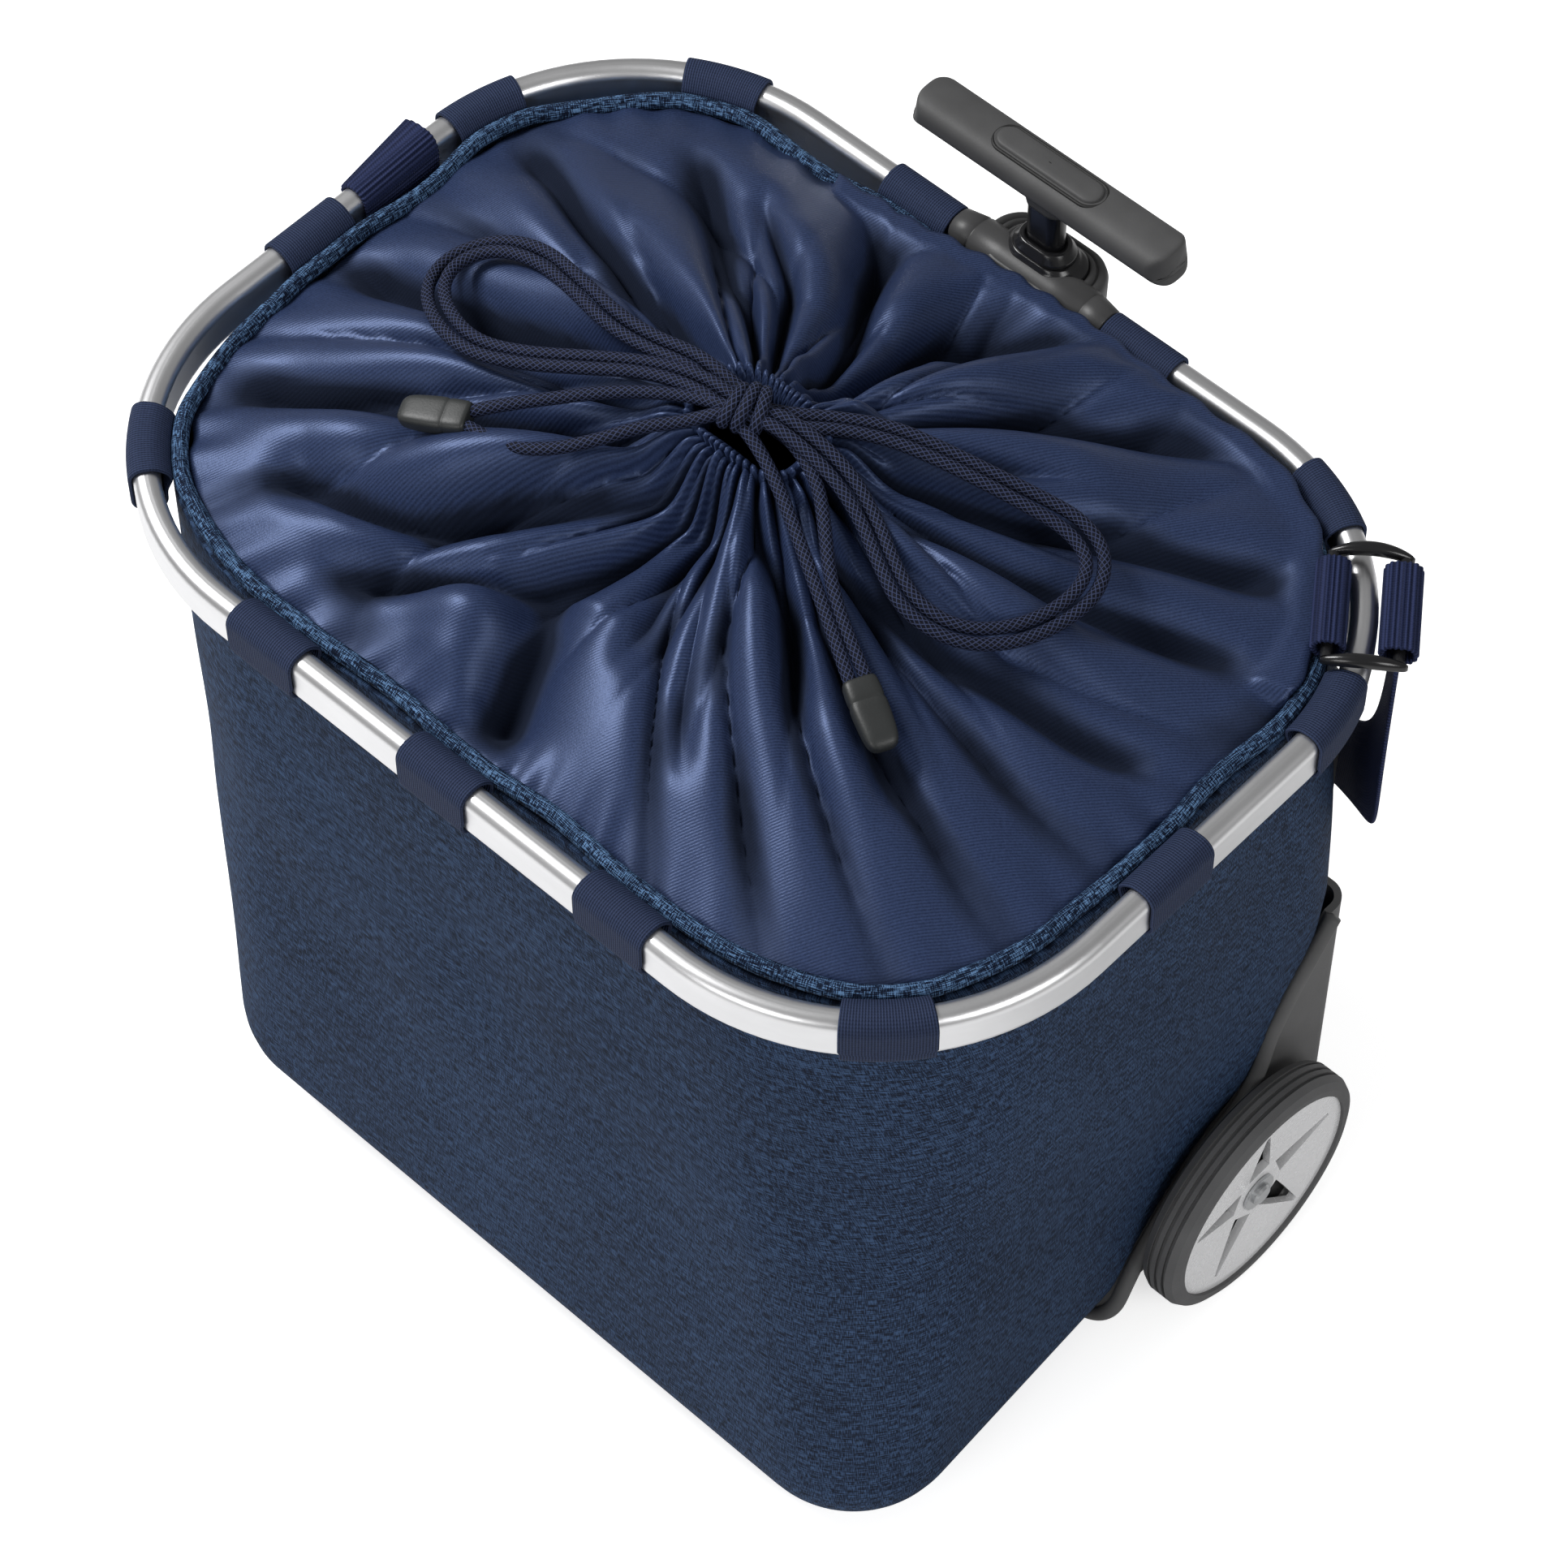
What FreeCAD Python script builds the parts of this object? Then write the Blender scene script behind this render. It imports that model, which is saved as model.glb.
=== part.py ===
"""Shopping trolley on wheels: a fabric bag hung in an oval aluminium rim, on two wheels, with a
two-stage telescopic pull handle.  Millimetres, +Z up, floor at Z = 0, +Y towards the handle.
The plan's centre, from which sizes in Y are given, is at (0, plan_y); the origin is the middle
of the footprint on the floor."""
import FreeCAD, Part
import math
import os
import Sketcher

Vector = FreeCAD.Vector

doc = FreeCAD.newDocument("shopping_trolley")
sheet = doc.addObject("Spreadsheet::Sheet", "sizes")
pieces = []


# ---------------------------------------------------------------- sizes and their sheet
class Size:
    """A length that carries its number and the sheet expression that it is bound to."""

    def __init__(self, value, text):
        self.value = float(value)
        self.text = text

    def _other(self, other):
        return other if isinstance(other, Size) else Size(other, repr(float(other)))

    def __add__(self, other):
        other = self._other(other)
        return Size(self.value + other.value, "(%s + %s)" % (self.text, other.text))

    def __sub__(self, other):
        other = self._other(other)
        return Size(self.value - other.value, "(%s - %s)" % (self.text, other.text))

    def __mul__(self, other):
        other = self._other(other)
        return Size(self.value * other.value, "(%s * %s)" % (self.text, other.text))

    def __truediv__(self, other):
        other = self._other(other)
        return Size(self.value / other.value, "(%s / %s)" % (self.text, other.text))

    def __neg__(self):
        return Size(-self.value, "(0 - %s)" % self.text)

    def __rsub__(self, other):
        return self._other(other) - self

    __radd__ = __add__
    __rmul__ = __mul__


def plain(value):
    """A fixed number as a Size, for a detail that is not driven from the sheet."""
    return Size(value, repr(float(value)))


ZERO = plain(0)
row = [0]


def size(name, value, note):
    """Write one driving dimension in the sheet and return it as a Size."""
    row[0] += 1
    sheet.set("A%d" % row[0], name)
    sheet.set("B%d" % row[0], str(value))
    sheet.set("C%d" % row[0], note)
    sheet.setAlias("B%d" % row[0], name)
    return Size(value, "sizes.%s" % name)


# rim tube
rim_width = size("rim_width", 426, "rim over its tube, left to right")
rim_depth = size("rim_depth", 314.6, "rim over its tube, front to back")
rim_corner = size("rim_corner", 104, "outer corner radius of the rim")
rim_thick = size("rim_thick", 10, "rim tube, across")
rim_tall = size("rim_tall", 20, "rim tube, up")
rim_wall = size("rim_wall", 1.4, "rim tube wall")
rim_round = size("rim_round", 4.4, "rounding of the rim tube's long edges")
rim_top = size("rim_top", 394, "top of the rim tube above the floor")
rim_gap = size("rim_gap", 32, "gap between the rim's two ends inside the collar")
rim_shift = size("rim_shift", -3.8, "rim's own centre from the plan's centre")
plan_y = size("plan_y", -2.95, "the plan's centre in Y")
# webbing loops
loop_width = size("loop_width", 32, "webbing loop, along the tube")
loop_thick = size("loop_thick", 1.4, "webbing thickness")
loop_fit = size("loop_fit", 0.3, "gap between webbing and tube")
# bag
bag_top_x = size("bag_top_x", 199, "bag half width at its rim")
bag_top_y = size("bag_top_y", 139.5, "back of the bag at its rim")
bag_top_front = size("bag_top_front", 147, "front of the bag at its rim")
bag_top_r = size("bag_top_r", 90, "bag corner radius at its rim")
bag_top_drop = size("bag_top_drop", 8.7, "bag edge below the top of the tube")
bag_front_x = size("bag_front_x", 187, "bag half width at its bottom, front")
bag_back_x = size("bag_back_x", 173.5, "bag half width at its bottom, back")
bag_front_y = size("bag_front_y", -142, "bag front at its bottom")
bag_back_y = size("bag_back_y", 136, "bag back at its bottom")
bag_foot_r = size("bag_foot_r", 46, "bag front corner radius at its bottom")
bag_back_r = size("bag_back_r", 24, "bag back corner radius at its bottom")
bag_waist_r = size("bag_waist_r", 30, "bag back corner radius at its waist")
bag_waist_z = size("bag_waist_z", 200, "height at which the back corners open out")
bag_foot_z = size("bag_foot_z", 10, "underside of the bag above the floor")
bag_edge = size("bag_edge", 34, "height of the bag's rounded bottom edge")
bag_wall = size("bag_wall", 2.5, "fabric and lining together")
piping_r = size("piping_r", 3.2, "radius of the corded edge of the bag")
board_thick = size("board_thick", 3, "stiff bottom board")
board_inset = size("board_inset", 38, "bottom board inside the bag's outline")
board_corner = size("board_corner", 12, "corner radius of the bottom board")
# cover
cover_rise = size("cover_rise", 40, "throat of the cover above the top of the tube")
cover_wall = size("cover_wall", 2.5, "gathered cover fabric as a plain shell")
throat_y = size("throat_y", 3, "throat centre in Y, from the plan's centre")
# base
guard_wall = size("guard_wall", 3, "wall of the moulded base")
guard_fit = size("guard_fit", 0.5, "gap between base and bag")
base_low = size("base_low", 6.5, "underside of the moulded base above the floor")
foot_r = size("foot_r", 13, "front foot radius")
foot_x = size("foot_x", 110, "front feet from the middle")
foot_y = size("foot_y", -84, "front feet from the plan's centre")
# wheels
tyre_r = size("tyre_r", 56, "tyre radius")
tyre_wide = size("tyre_wide", 18, "tyre width")
hub_r = size("hub_r", 48.6, "hub radius, under the tyre")
wheel_x = size("wheel_x", 194.5, "middle of the wheel from the middle of the trolley")
wheel_y = size("wheel_y", 74.5, "axle from the plan's centre")
axle_r = size("axle_r", 5, "stub axle radius")
axle_fit = size("axle_fit", 0.05, "running clearance of hub on axle")
# collar
collar_wall = size("collar_wall", 2.4, "wall of the collar's sleeves")
collar_half = size("collar_half", 33.5, "half length of the collar over its sleeves")
collar_x = size("collar_x", 25, "half width of the collar's block")
collar_y = size("collar_y", 14.2, "half depth of the collar's block")
collar_lip = size("collar_lip", 3, "lip of the collar above the rim")
# pole
pole_y = size("pole_y", 154.5, "pole axis from the plan's centre")
inner_x = size("inner_x", 8, "inner tube half width")
inner_y = size("inner_y", 4.5, "inner tube half depth")
stage_step = size("stage_step", 1.9, "growth of each tube outwards, wall and gap together")
tube_wall = size("tube_wall", 1.2, "pole tube wall")
shoe_fit = size("shoe_fit", 0.3, "gap of a plastic shoe in the tube around it")
outer_foot = size("outer_foot", 22, "foot of the outer tube above the floor")
shoe_tall = size("shoe_tall", 22, "height of a shoe at a tube's foot")
travel = size("travel", 270, "slide of each stage")
pin_r = size("pin_r", 2, "latch pin radius")
pin_hole = size("pin_hole", 2.4, "latch hole radius in a tube wall")
rod_r = size("rod_r", 1.5, "push rod radius")
# grip
grip_half = size("grip_half", 61.5, "half length of the grip")
grip_deep = size("grip_deep", 10.5, "half depth of the grip")
grip_top = size("grip_top", 444, "top of the grip above the floor")
grip_upper = size("grip_upper", 10, "height of the upper grip shell")
grip_lower = size("grip_lower", 4, "height of the lower grip shell")
button_half = size("button_half", 24, "half length of the button")
button_deep = size("button_deep", 5.2, "half depth of the button")
button_fit = size("button_fit", 0.3, "gap around the button")
button_travel = size("button_travel", 3, "push of the button")
# strap
strap_wide = size("strap_wide", 38, "carry strap width")
strap_thick = size("strap_thick", 1.6, "carry strap thickness")
strap_left = size("strap_left", 24, "strap's left wrap from the plan's centre")
strap_near = size("strap_near", 7.6, "strap at its left end, outside the tube's centre line")
strap_sag = size("strap_sag", 190, "droop of the strap behind the bag")
slider_angle = size("slider_angle", 36, "slider's place on the right back bend, degrees")
slider_long = size("slider_long", 46, "strap slider along the tube")
slider_bar = size("slider_bar", 12.5, "slider's cross bars from the tube's centre line")
# cord
cord_d = size("cord_d", 5, "draw cord diameter")
end_long = size("end_long", 27, "cord end length")
end_wide = size("end_wide", 13, "cord end width")
end_thick = size("end_thick", 8, "cord end thickness")
knot_x = size("knot_x", 12, "knot half length")
knot_y = size("knot_y", 9, "knot half width")
knot_z = size("knot_z", 7.5, "knot half height")
# details of the base, feet and wheels
base_top = size("base_top", 175, "top of the moulded base above the floor")
base_x = size("base_x", 180, "half width of the moulded base")
base_y = size("base_y", 141, "back of the moulded base from the plan's centre")
base_r = size("base_r", 9, "corner radius of the base")
base_edge = size("base_edge", 22, "rounded bottom edge of the base")
plate_half = size("plate_half", 163, "half width of the back plate")
plate_low = size("plate_low", 188, "bottom of the back plate above the floor")
plate_top = size("plate_top", 300, "top of the back plate above the floor")
plate_thick = size("plate_thick", 4, "back plate thickness")
boss_r = size("boss_r", 16, "axle boss radius")
axle_head_r = size("axle_head_r", 9, "seat of the stub axle's head")
axle_head = size("axle_head", 2.3, "depth of the stub axle's head")
socket_half = size("socket_half", 16, "half width of the pole's socket in the base")
socket_top = size("socket_top", 76, "top of the pole's socket above the floor")
hub_boss_r = size("hub_boss_r", 11, "hub boss radius")
hub_dish_r = size("hub_dish_r", 16, "flat middle of the hub")
slot_half = size("slot_half", 6.2, "half width of a hub slot at its inner end")
slot_start = size("slot_start", 13, "inner end of a hub slot")
slot_end = size("slot_end", 42, "outer end of a hub slot")
clip_r = size("clip_r", 8.5, "spring clip radius")
screw_r = size("screw_r", 2, "screw shank radius")
screw_head_r = size("screw_head_r", 4, "screw head radius")
screw_head = size("screw_head", 2.2, "screw head height")
screw_sink = size("screw_sink", 4, "depth of a screw's recess")
doc.recompute()


# ---------------------------------------------------------------- drawing helpers
def bind(thing, name, amount):
    """Bind one property of an object to a size."""
    thing.setExpression(name, amount.text)


def place(thing, x, y, z):
    """Seat a sub-part: x, y and z are from the plan's centre and the floor."""
    bind(thing, "Placement.Base.x", x)
    bind(thing, "Placement.Base.y", plan_y + y)
    bind(thing, "Placement.Base.z", z)


def piece(kind, label):
    """Start a sub-part that is written to its own file."""
    made = doc.addObject(kind, label)
    made.Label = label
    pieces.append(made)
    return made


def origin_plane(body, role):
    """One of the body's own origin planes, found by its role."""
    return [item for item in body.Origin.OriginFeatures if item.Role == role][0]


def new_sketch(body, role, offset=ZERO):
    """A sketch on one of the body's origin planes, moved along the plane's normal."""
    sketch = body.newObject("Sketcher::SketchObject", body.Name + "_sketch")
    sketch.AttachmentSupport = (origin_plane(body, role), [""])
    sketch.MapMode = "FlatFace"
    bind(sketch, "AttachmentOffset.Base.z", offset)
    return sketch


def pin_point(sketch, geometry, end, x, y):
    """Fix a sketch point at the two sizes x and y from the sketch's origin."""
    for kind, amount in (("DistanceX", x), ("DistanceY", y)):
        number = sketch.addConstraint(Sketcher.Constraint(kind, -1, 1, geometry, end, amount.value))
        if amount.text != "0":
            bind(sketch, "Constraints[%d]" % number, amount)


def flat(x, y):
    """A sketch point as a vector."""
    return Vector(x.value, y.value, 0)


def draw_circle(sketch, radius, x=ZERO, y=ZERO):
    """One circle of a given radius about (x, y)."""
    number = sketch.addGeometry(Part.Circle(flat(x, y), Vector(0, 0, 1), radius.value))
    bound = sketch.addConstraint(Sketcher.Constraint("Radius", number, radius.value))
    bind(sketch, "Constraints[%d]" % bound, radius)
    pin_point(sketch, number, 3, x, y)


def draw_polygon(sketch, corners):
    """A closed run of straight lines through the corners."""
    count = len(corners)
    first = sketch.GeometryCount
    for index, corner in enumerate(corners):
        following = corners[(index + 1) % count]
        sketch.addGeometry(Part.LineSegment(flat(*corner), flat(*following)))
    for index, corner in enumerate(corners):
        before = first + (index - 1) % count
        sketch.addConstraint(Sketcher.Constraint("Coincident", before, 2, first + index, 1))
        pin_point(sketch, first + index, 1, *corner)


def draw_rounded(sketch, half_x, half_y, radius, x=ZERO, y=ZERO):
    """A closed rectangle about (x, y) with rounded corners, as four lines and four arcs."""
    first = sketch.GeometryCount
    turns = ((1, -1), (1, 1), (-1, 1), (-1, -1))
    for quarter, (side_x, side_y) in enumerate(turns):
        next_x, next_y = turns[(quarter + 1) % 4]
        centre_x = x + (half_x - radius) * side_x
        centre_y = y + (half_y - radius) * side_y
        ahead_x = x + (half_x - radius) * next_x
        ahead_y = y + (half_y - radius) * next_y
        out_x = (side_x + next_x) / 2
        out_y = (side_y + next_y) / 2
        start = (centre_x + radius * out_x, centre_y + radius * out_y)
        end = (ahead_x + radius * out_x, ahead_y + radius * out_y)
        line = sketch.addGeometry(Part.LineSegment(flat(*start), flat(*end)))
        pin_point(sketch, line, 1, *start)
        pin_point(sketch, line, 2, *end)
        circle = Part.Circle(flat(ahead_x, ahead_y), Vector(0, 0, 1), radius.value)
        opening = math.atan2(out_y, out_x)
        sketch.addGeometry(Part.ArcOfCircle(circle, opening, opening + math.pi / 2))
    for quarter in range(4):
        line = first + 2 * quarter
        arc = line + 1
        ahead = first + (2 * quarter + 2) % 8
        sketch.addConstraint(Sketcher.Constraint("Tangent", line, 2, arc, 1))
        sketch.addConstraint(Sketcher.Constraint("Coincident", arc, 2, ahead, 1))


def draw_stadium(sketch, half_x, half_y, x=ZERO, y=ZERO):
    """Two straight sides and two half circles, long along X."""
    first = sketch.GeometryCount
    for side in (-1, 1):
        start = (x + (half_x - half_y) * side, y + half_y * side)
        end = (x - (half_x - half_y) * side, y + half_y * side)
        start, end = (end, start) if side < 0 else (start, end)
        start, end = (start, end) if side > 0 else (end, start)
        line = sketch.addGeometry(Part.LineSegment(flat(*start), flat(*end)))
        pin_point(sketch, line, 1, *start)
        pin_point(sketch, line, 2, *end)
        centre = flat(x - (half_x - half_y) * side, y)
        circle = Part.Circle(centre, Vector(0, 0, 1), half_y.value)
        opening = math.pi / 2 * side
        sketch.addGeometry(Part.ArcOfCircle(circle, opening, opening + math.pi))
    for side in range(2):
        line = first + 2 * side
        arc = line + 1
        ahead = first + (2 * side + 2) % 4
        sketch.addConstraint(Sketcher.Constraint("Tangent", line, 2, arc, 1))
        sketch.addConstraint(Sketcher.Constraint("Coincident", arc, 2, ahead, 1))


def extrude(body, kind, sketch, length, reverse=False):
    """Pad or pocket a sketch by a length, the other way when reverse is set."""
    feature = body.newObject("PartDesign::" + kind, body.Name + "_" + kind.lower())
    feature.Profile = sketch
    feature.Type = "Length"
    bind(feature, "Length", length)
    feature.Reversed = reverse
    sketch.Visibility = False
    return feature


def pad(body, sketch, length, reverse=False):
    """Pad a sketch along its plane's normal."""
    return extrude(body, "Pad", sketch, length, reverse)


def pocket(body, sketch, length, reverse=False):
    """Pocket a sketch against its plane's normal and check that it removes something."""
    doc.recompute()
    before = body.Shape.Volume
    feature = extrude(body, "Pocket", sketch, length, reverse)
    doc.recompute()
    if body.Shape.Volume > before - 0.1:
        raise ValueError("a pocket in %s cuts nothing" % body.Label)
    return feature


def turn(body, sketch, axis, kind="Revolution"):
    """Turn a sketch a full circle about one of its own axes."""
    feature = body.newObject("PartDesign::" + kind, body.Name + "_" + kind.lower())
    feature.Profile = sketch
    feature.ReferenceAxis = (sketch, [axis])
    feature.Angle = 360
    return feature


def soften(body, radius, wanted):
    """Fillet the edges of the body's tip for which wanted(edge) is true."""
    doc.recompute()
    base = body.Tip
    names = ["Edge%d" % (i + 1) for i, edge in enumerate(base.Shape.Edges) if wanted(edge)]
    if not names:
        raise ValueError("no edges to round in %s" % body.Label)
    feature = body.newObject("PartDesign::Fillet", body.Name + "_fillet")
    feature.Base = (base, names)
    bind(feature, "Radius", radius)
    return feature


def edges_at(height, inside=None):
    """A test for the edges that lie at one height, with a limit on their X or Y if asked."""
    def wanted(edge):
        box = edge.BoundBox
        level = abs(box.ZMin - height) < 0.01 and abs(box.ZMax - height) < 0.01
        return level and (inside is None or inside(edge))
    return wanted


def rounded_wire(corners, radii, height):
    """A closed flat wire through the corners, each rounded by its own radius, at one height.
    The arc at a corner touches both sides, so its ends lie radius / tan(half the corner's
    angle) from the corner."""
    count = len(corners)
    arcs = []
    for index in range(count):
        here = Vector(corners[index][0], corners[index][1], height)
        back = Vector(corners[index - 1][0], corners[index - 1][1], height) - here
        ahead_at = corners[(index + 1) % count]
        ahead = Vector(ahead_at[0], ahead_at[1], height) - here
        back.normalize()
        ahead.normalize()
        half = back.getAngle(ahead) / 2
        reach = radii[index] / math.tan(half)
        middle = (back + ahead).normalize()
        centre = here + middle * (radii[index] / math.sin(half))
        arcs.append((here + back * reach, centre - middle * radii[index], here + ahead * reach))
    edges = []
    for index, (start, middle, end) in enumerate(arcs):
        edges.append(Part.Arc(start, middle, end).toShape())
        edges.append(Part.LineSegment(end, arcs[(index + 1) % count][0]).toShape())
    return Part.Wire(edges)


def box_wire(half_x, low_y, high_y, radius, height):
    """A rounded rectangle, symmetrical about X = 0."""
    corners = [(half_x, low_y), (half_x, high_y), (-half_x, high_y), (-half_x, low_y)]
    return rounded_wire(corners, [radius] * 4, height)


def shape_piece(label, shape, lift=ZERO):
    """A sub-part whose shape is worked out by Part, then seated on the plan's centre in Y."""
    made = piece("Part::Feature", label)
    made.Shape = shape if shape.Placement.isIdentity() else Part.makeCompound([shape])
    bind(made, "Placement.Base.y", plan_y)
    bind(made, "Placement.Base.z", lift)
    return made


# ---------------------------------------------------------------- rim tube
half_x = (rim_width - rim_thick) / 2
half_y = (rim_depth - rim_thick) / 2
back_y = half_y + rim_shift
mid_r = rim_corner - rim_thick / 2


def rim_path(sketch):
    """The tube's centre line: a rounded rectangle left open at the back for the collar."""
    straight_x = half_x - mid_r
    straight_y = half_y - mid_r
    stations = [
        (rim_gap / 2, half_y), (straight_x, half_y), (half_x, straight_y), (half_x, -straight_y),
        (straight_x, -half_y), (-straight_x, -half_y), (-half_x, -straight_y),
        (-half_x, straight_y), (-straight_x, half_y), (-rim_gap / 2, half_y)]
    lines = []
    for index in range(0, 10, 2):
        line = sketch.addGeometry(Part.LineSegment(flat(*stations[index]), flat(*stations[index + 1])))
        pin_point(sketch, line, 1, *stations[index])
        pin_point(sketch, line, 2, *stations[index + 1])
        lines.append(line)
    corners = ((1, 1), (1, -1), (-1, -1), (-1, 1))
    for index, (side_x, side_y) in enumerate(corners):
        centre = flat(straight_x * side_x, straight_y * side_y)
        circle = Part.Circle(centre, Vector(0, 0, 1), mid_r.value)
        opening = math.pi / 2 * ((4 - index) % 4)
        arc = sketch.addGeometry(Part.ArcOfCircle(circle, opening, opening + math.pi / 2))
        sketch.addConstraint(Sketcher.Constraint("Tangent", lines[index], 2, arc, 2))
        sketch.addConstraint(Sketcher.Constraint("Coincident", arc, 1, lines[index + 1], 1))


def make_rim():
    """Aluminium tube of flat-oval section, bent to an oval and open at the back."""
    body = piece("PartDesign::Body", "rim_tube")
    path = new_sketch(body, "XY_Plane")
    rim_path(path)
    for kind, inset in (("AdditivePipe", ZERO), ("SubtractivePipe", rim_wall)):
        section = new_sketch(body, "YZ_Plane", rim_gap / 2)
        draw_rounded(section, rim_thick / 2 - inset, rim_tall / 2 - inset, rim_round - inset, half_y)
        feature = body.newObject("PartDesign::" + kind, "rim_" + kind.lower())
        feature.Profile = section
        feature.Spine = (path, [""])
        doc.recompute()
    place(body, ZERO, rim_shift, rim_top - rim_tall / 2)


def make_loop(label, x, y, angle, corner):
    """One webbing loop: a closed band around the tube, sewn to the bag.  On a bend it turns
    about the bend's centre, on a straight it is a straight sleeve."""
    gap = loop_fit
    body = piece("PartDesign::Body", label)
    reach = mid_r if corner else ZERO
    section = new_sketch(body, "YZ_Plane")
    outer = gap + loop_thick
    draw_rounded(section, rim_thick / 2 + outer, rim_tall / 2 + outer, rim_round + outer, reach)
    draw_rounded(section, rim_thick / 2 + gap, rim_tall / 2 + gap, rim_round + gap, reach)
    if corner:
        feature = body.newObject("PartDesign::Revolution", label + "_bend")
        feature.Profile = section
        feature.ReferenceAxis = (section, ["V_Axis"])
        feature.Midplane = True
        bind(feature, "Angle", loop_width / mid_r * (180 / math.pi))
    else:
        feature = pad(body, section, loop_width)
        feature.SideType = "Symmetric"
    body.Placement.Rotation = FreeCAD.Rotation(Vector(0, 0, 1), angle)
    place(body, x, y, rim_top - rim_tall / 2)


def make_loops():
    """Thirteen loops about 95 mm apart, none at the collar."""
    straight_x = half_x - mid_r
    front = rim_shift - half_y
    make_loop("loop_front_middle", ZERO, front, 180, False)
    for side, name in ((-1, "left"), (1, "right")):
        make_loop("loop_front_" + name, plain(84) * side, front, 180, False)
        make_loop("loop_back_" + name, plain(53) * side, back_y, 0, False)
        make_loop("loop_side_" + name, half_x * side, plain(-18.5), -90 * side, False)
        make_loop("loop_front_corner_" + name, straight_x * side, front + mid_r, -135 * side, True)
        make_loop("loop_side_corner_" + name, straight_x * side, back_y - mid_r, -78.5 * side, True)
        make_loop("loop_back_corner_" + name, straight_x * side, back_y - mid_r, -22.5 * side, True)


# ---------------------------------------------------------------- bag and cover
top_z = rim_top.value - bag_top_drop.value
knee_z = bag_foot_z.value + bag_edge.value


def bag_wire(height, inset):
    """The bag's outline at a height, moved in by inset (out when negative).  Above the knee the
    outline runs evenly from the bottom's trapezium to the rim's rounded rectangle; the back
    corners stay tight up to the waist and then open out."""
    share = (height - knee_z) / (top_z - knee_z)

    def between(low, high):
        return low.value + (high.value - low.value) * share

    front_x = between(bag_front_x, bag_top_x) - inset
    back_x = between(bag_back_x, bag_top_x) - inset
    front_y = between(bag_front_y, -bag_top_front) + inset
    back_y = between(bag_back_y, bag_top_y) - inset
    front_r = between(bag_foot_r, bag_top_r) - inset
    waist = bag_waist_z.value
    if height < waist:
        rise = (height - knee_z) / (waist - knee_z)
        back_r = bag_back_r.value + (bag_waist_r - bag_back_r).value * rise
    else:
        rise = (height - waist) / (top_z - waist)
        back_r = bag_waist_r.value + (bag_top_r - bag_waist_r).value * rise
    corners = [(front_x, front_y), (back_x, back_y), (-back_x, back_y), (-front_x, front_y)]
    back_r = back_r - inset
    return rounded_wire(corners, [front_r, back_r, back_r, front_r], height)


def lowered_wire(height, inset):
    """The outline at the knee, moved in by inset and drawn at a lower height."""
    wire = bag_wire(knee_z, inset)
    wire.translate(Vector(0, 0, height - knee_z))
    return wire


def bag_solid(inset, top, floor):
    """The bag's outer form moved in by inset: a tapered body on a rounded bottom edge."""
    heights = (knee_z, bag_waist_z.value, top)
    body = Part.makeLoft([bag_wire(height, inset) for height in heights], True, True)
    wires = [lowered_wire(knee_z, inset)]
    edge = knee_z - floor
    for step in (1, 2, 3):
        angle = math.pi / 6 * step
        drop = edge * math.sin(angle)
        draw_in = (edge - 4) * (1 - math.cos(angle))
        radius_left = bag_back_r.value - inset - 1
        wires.append(lowered_wire(knee_z - drop, inset + min(draw_in, radius_left)))
    return body.fuse(Part.makeLoft(wires, True, True)).removeSplitter()


def make_bag():
    """Padded fabric bag: closed bottom, four sides, open at the rim."""
    wall = bag_wall.value
    outer = bag_solid(0, top_z, bag_foot_z.value)
    inner = bag_solid(wall, top_z + 1, bag_foot_z.value + wall)
    fit = guard_fit.value + guard_wall.value
    zone = guard_profile(1)
    outer = outer.cut(zone.cut(base_tub(fit)))
    inner = inner.cut(zone.cut(base_tub(fit + wall)))
    shape_piece("bag_shell", outer.cut(inner))
    inset = board_inset.value
    front = (bag_front_x.value - inset, bag_front_y.value + inset)
    back = (bag_back_x.value - inset, bag_back_y.value - inset)
    corners = [front, back, (-back[0], back[1]), (-front[0], front[1])]
    outline = rounded_wire(corners, [board_corner.value] * 4, bag_foot_z.value + wall)
    board = Part.Face(outline).extrude(Vector(0, 0, board_thick.value))
    shape_piece("bottom_board", board)
    piping_z = top_z + piping_r.value + 0.1
    inset = piping_r.value
    path = box_wire(
        bag_top_x.value - inset, inset - bag_top_front.value, bag_top_y.value - inset,
        bag_top_r.value - inset, piping_z)
    edge = path.Edges[1]
    start = edge.valueAt(edge.FirstParameter)
    ring = Part.makeCircle(inset, start, edge.tangentAt(edge.FirstParameter))
    shape_piece("rim_piping", path.makePipeShell([Part.Wire(ring)], True, True))


def dome_height(share):
    """Height of the cover at a share of the way from the throat (0) to the rim (1)."""
    low = rim_top.value - 6
    return low + (rim_top.value + cover_rise.value - low) * (1 - share ** 1.7)


def cover_wire(share, inset, drop):
    """The cover's outline at a share of the way out, on the dome, moved in and down."""
    span_x = (bag_top_x.value - 7) * share - inset
    front = (bag_top_front.value - 7) * share - inset
    back = (bag_top_y.value - 7) * share - inset
    radius = min((bag_top_r.value - 7) * share, back - 0.5)
    middle = throat_y.value * (1 - share)
    return box_wire(span_x, middle - front, middle + back, radius, dome_height(share) - drop)


def make_cover():
    """Drawstring cover: a low dome from the rim up to a gathered throat that stays open."""
    shares = (1, 0.78, 0.56, 0.36, 0.19)
    wall = cover_wall.value
    outer = Part.makeLoft([cover_wire(s, 0, 0) for s in shares], True, True)
    inner = Part.makeLoft([cover_wire(s, wall, wall) for s in shares[:-1] + (0.205,)], True, True)
    low = cover_wire(0.122, 0, 0)
    low.translate(Vector(0, 0, -60))
    throat = Part.Face(low).extrude(Vector(0, 0, 90))
    shape_piece("drawstring_cover", outer.cut(inner).cut(throat))


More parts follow.
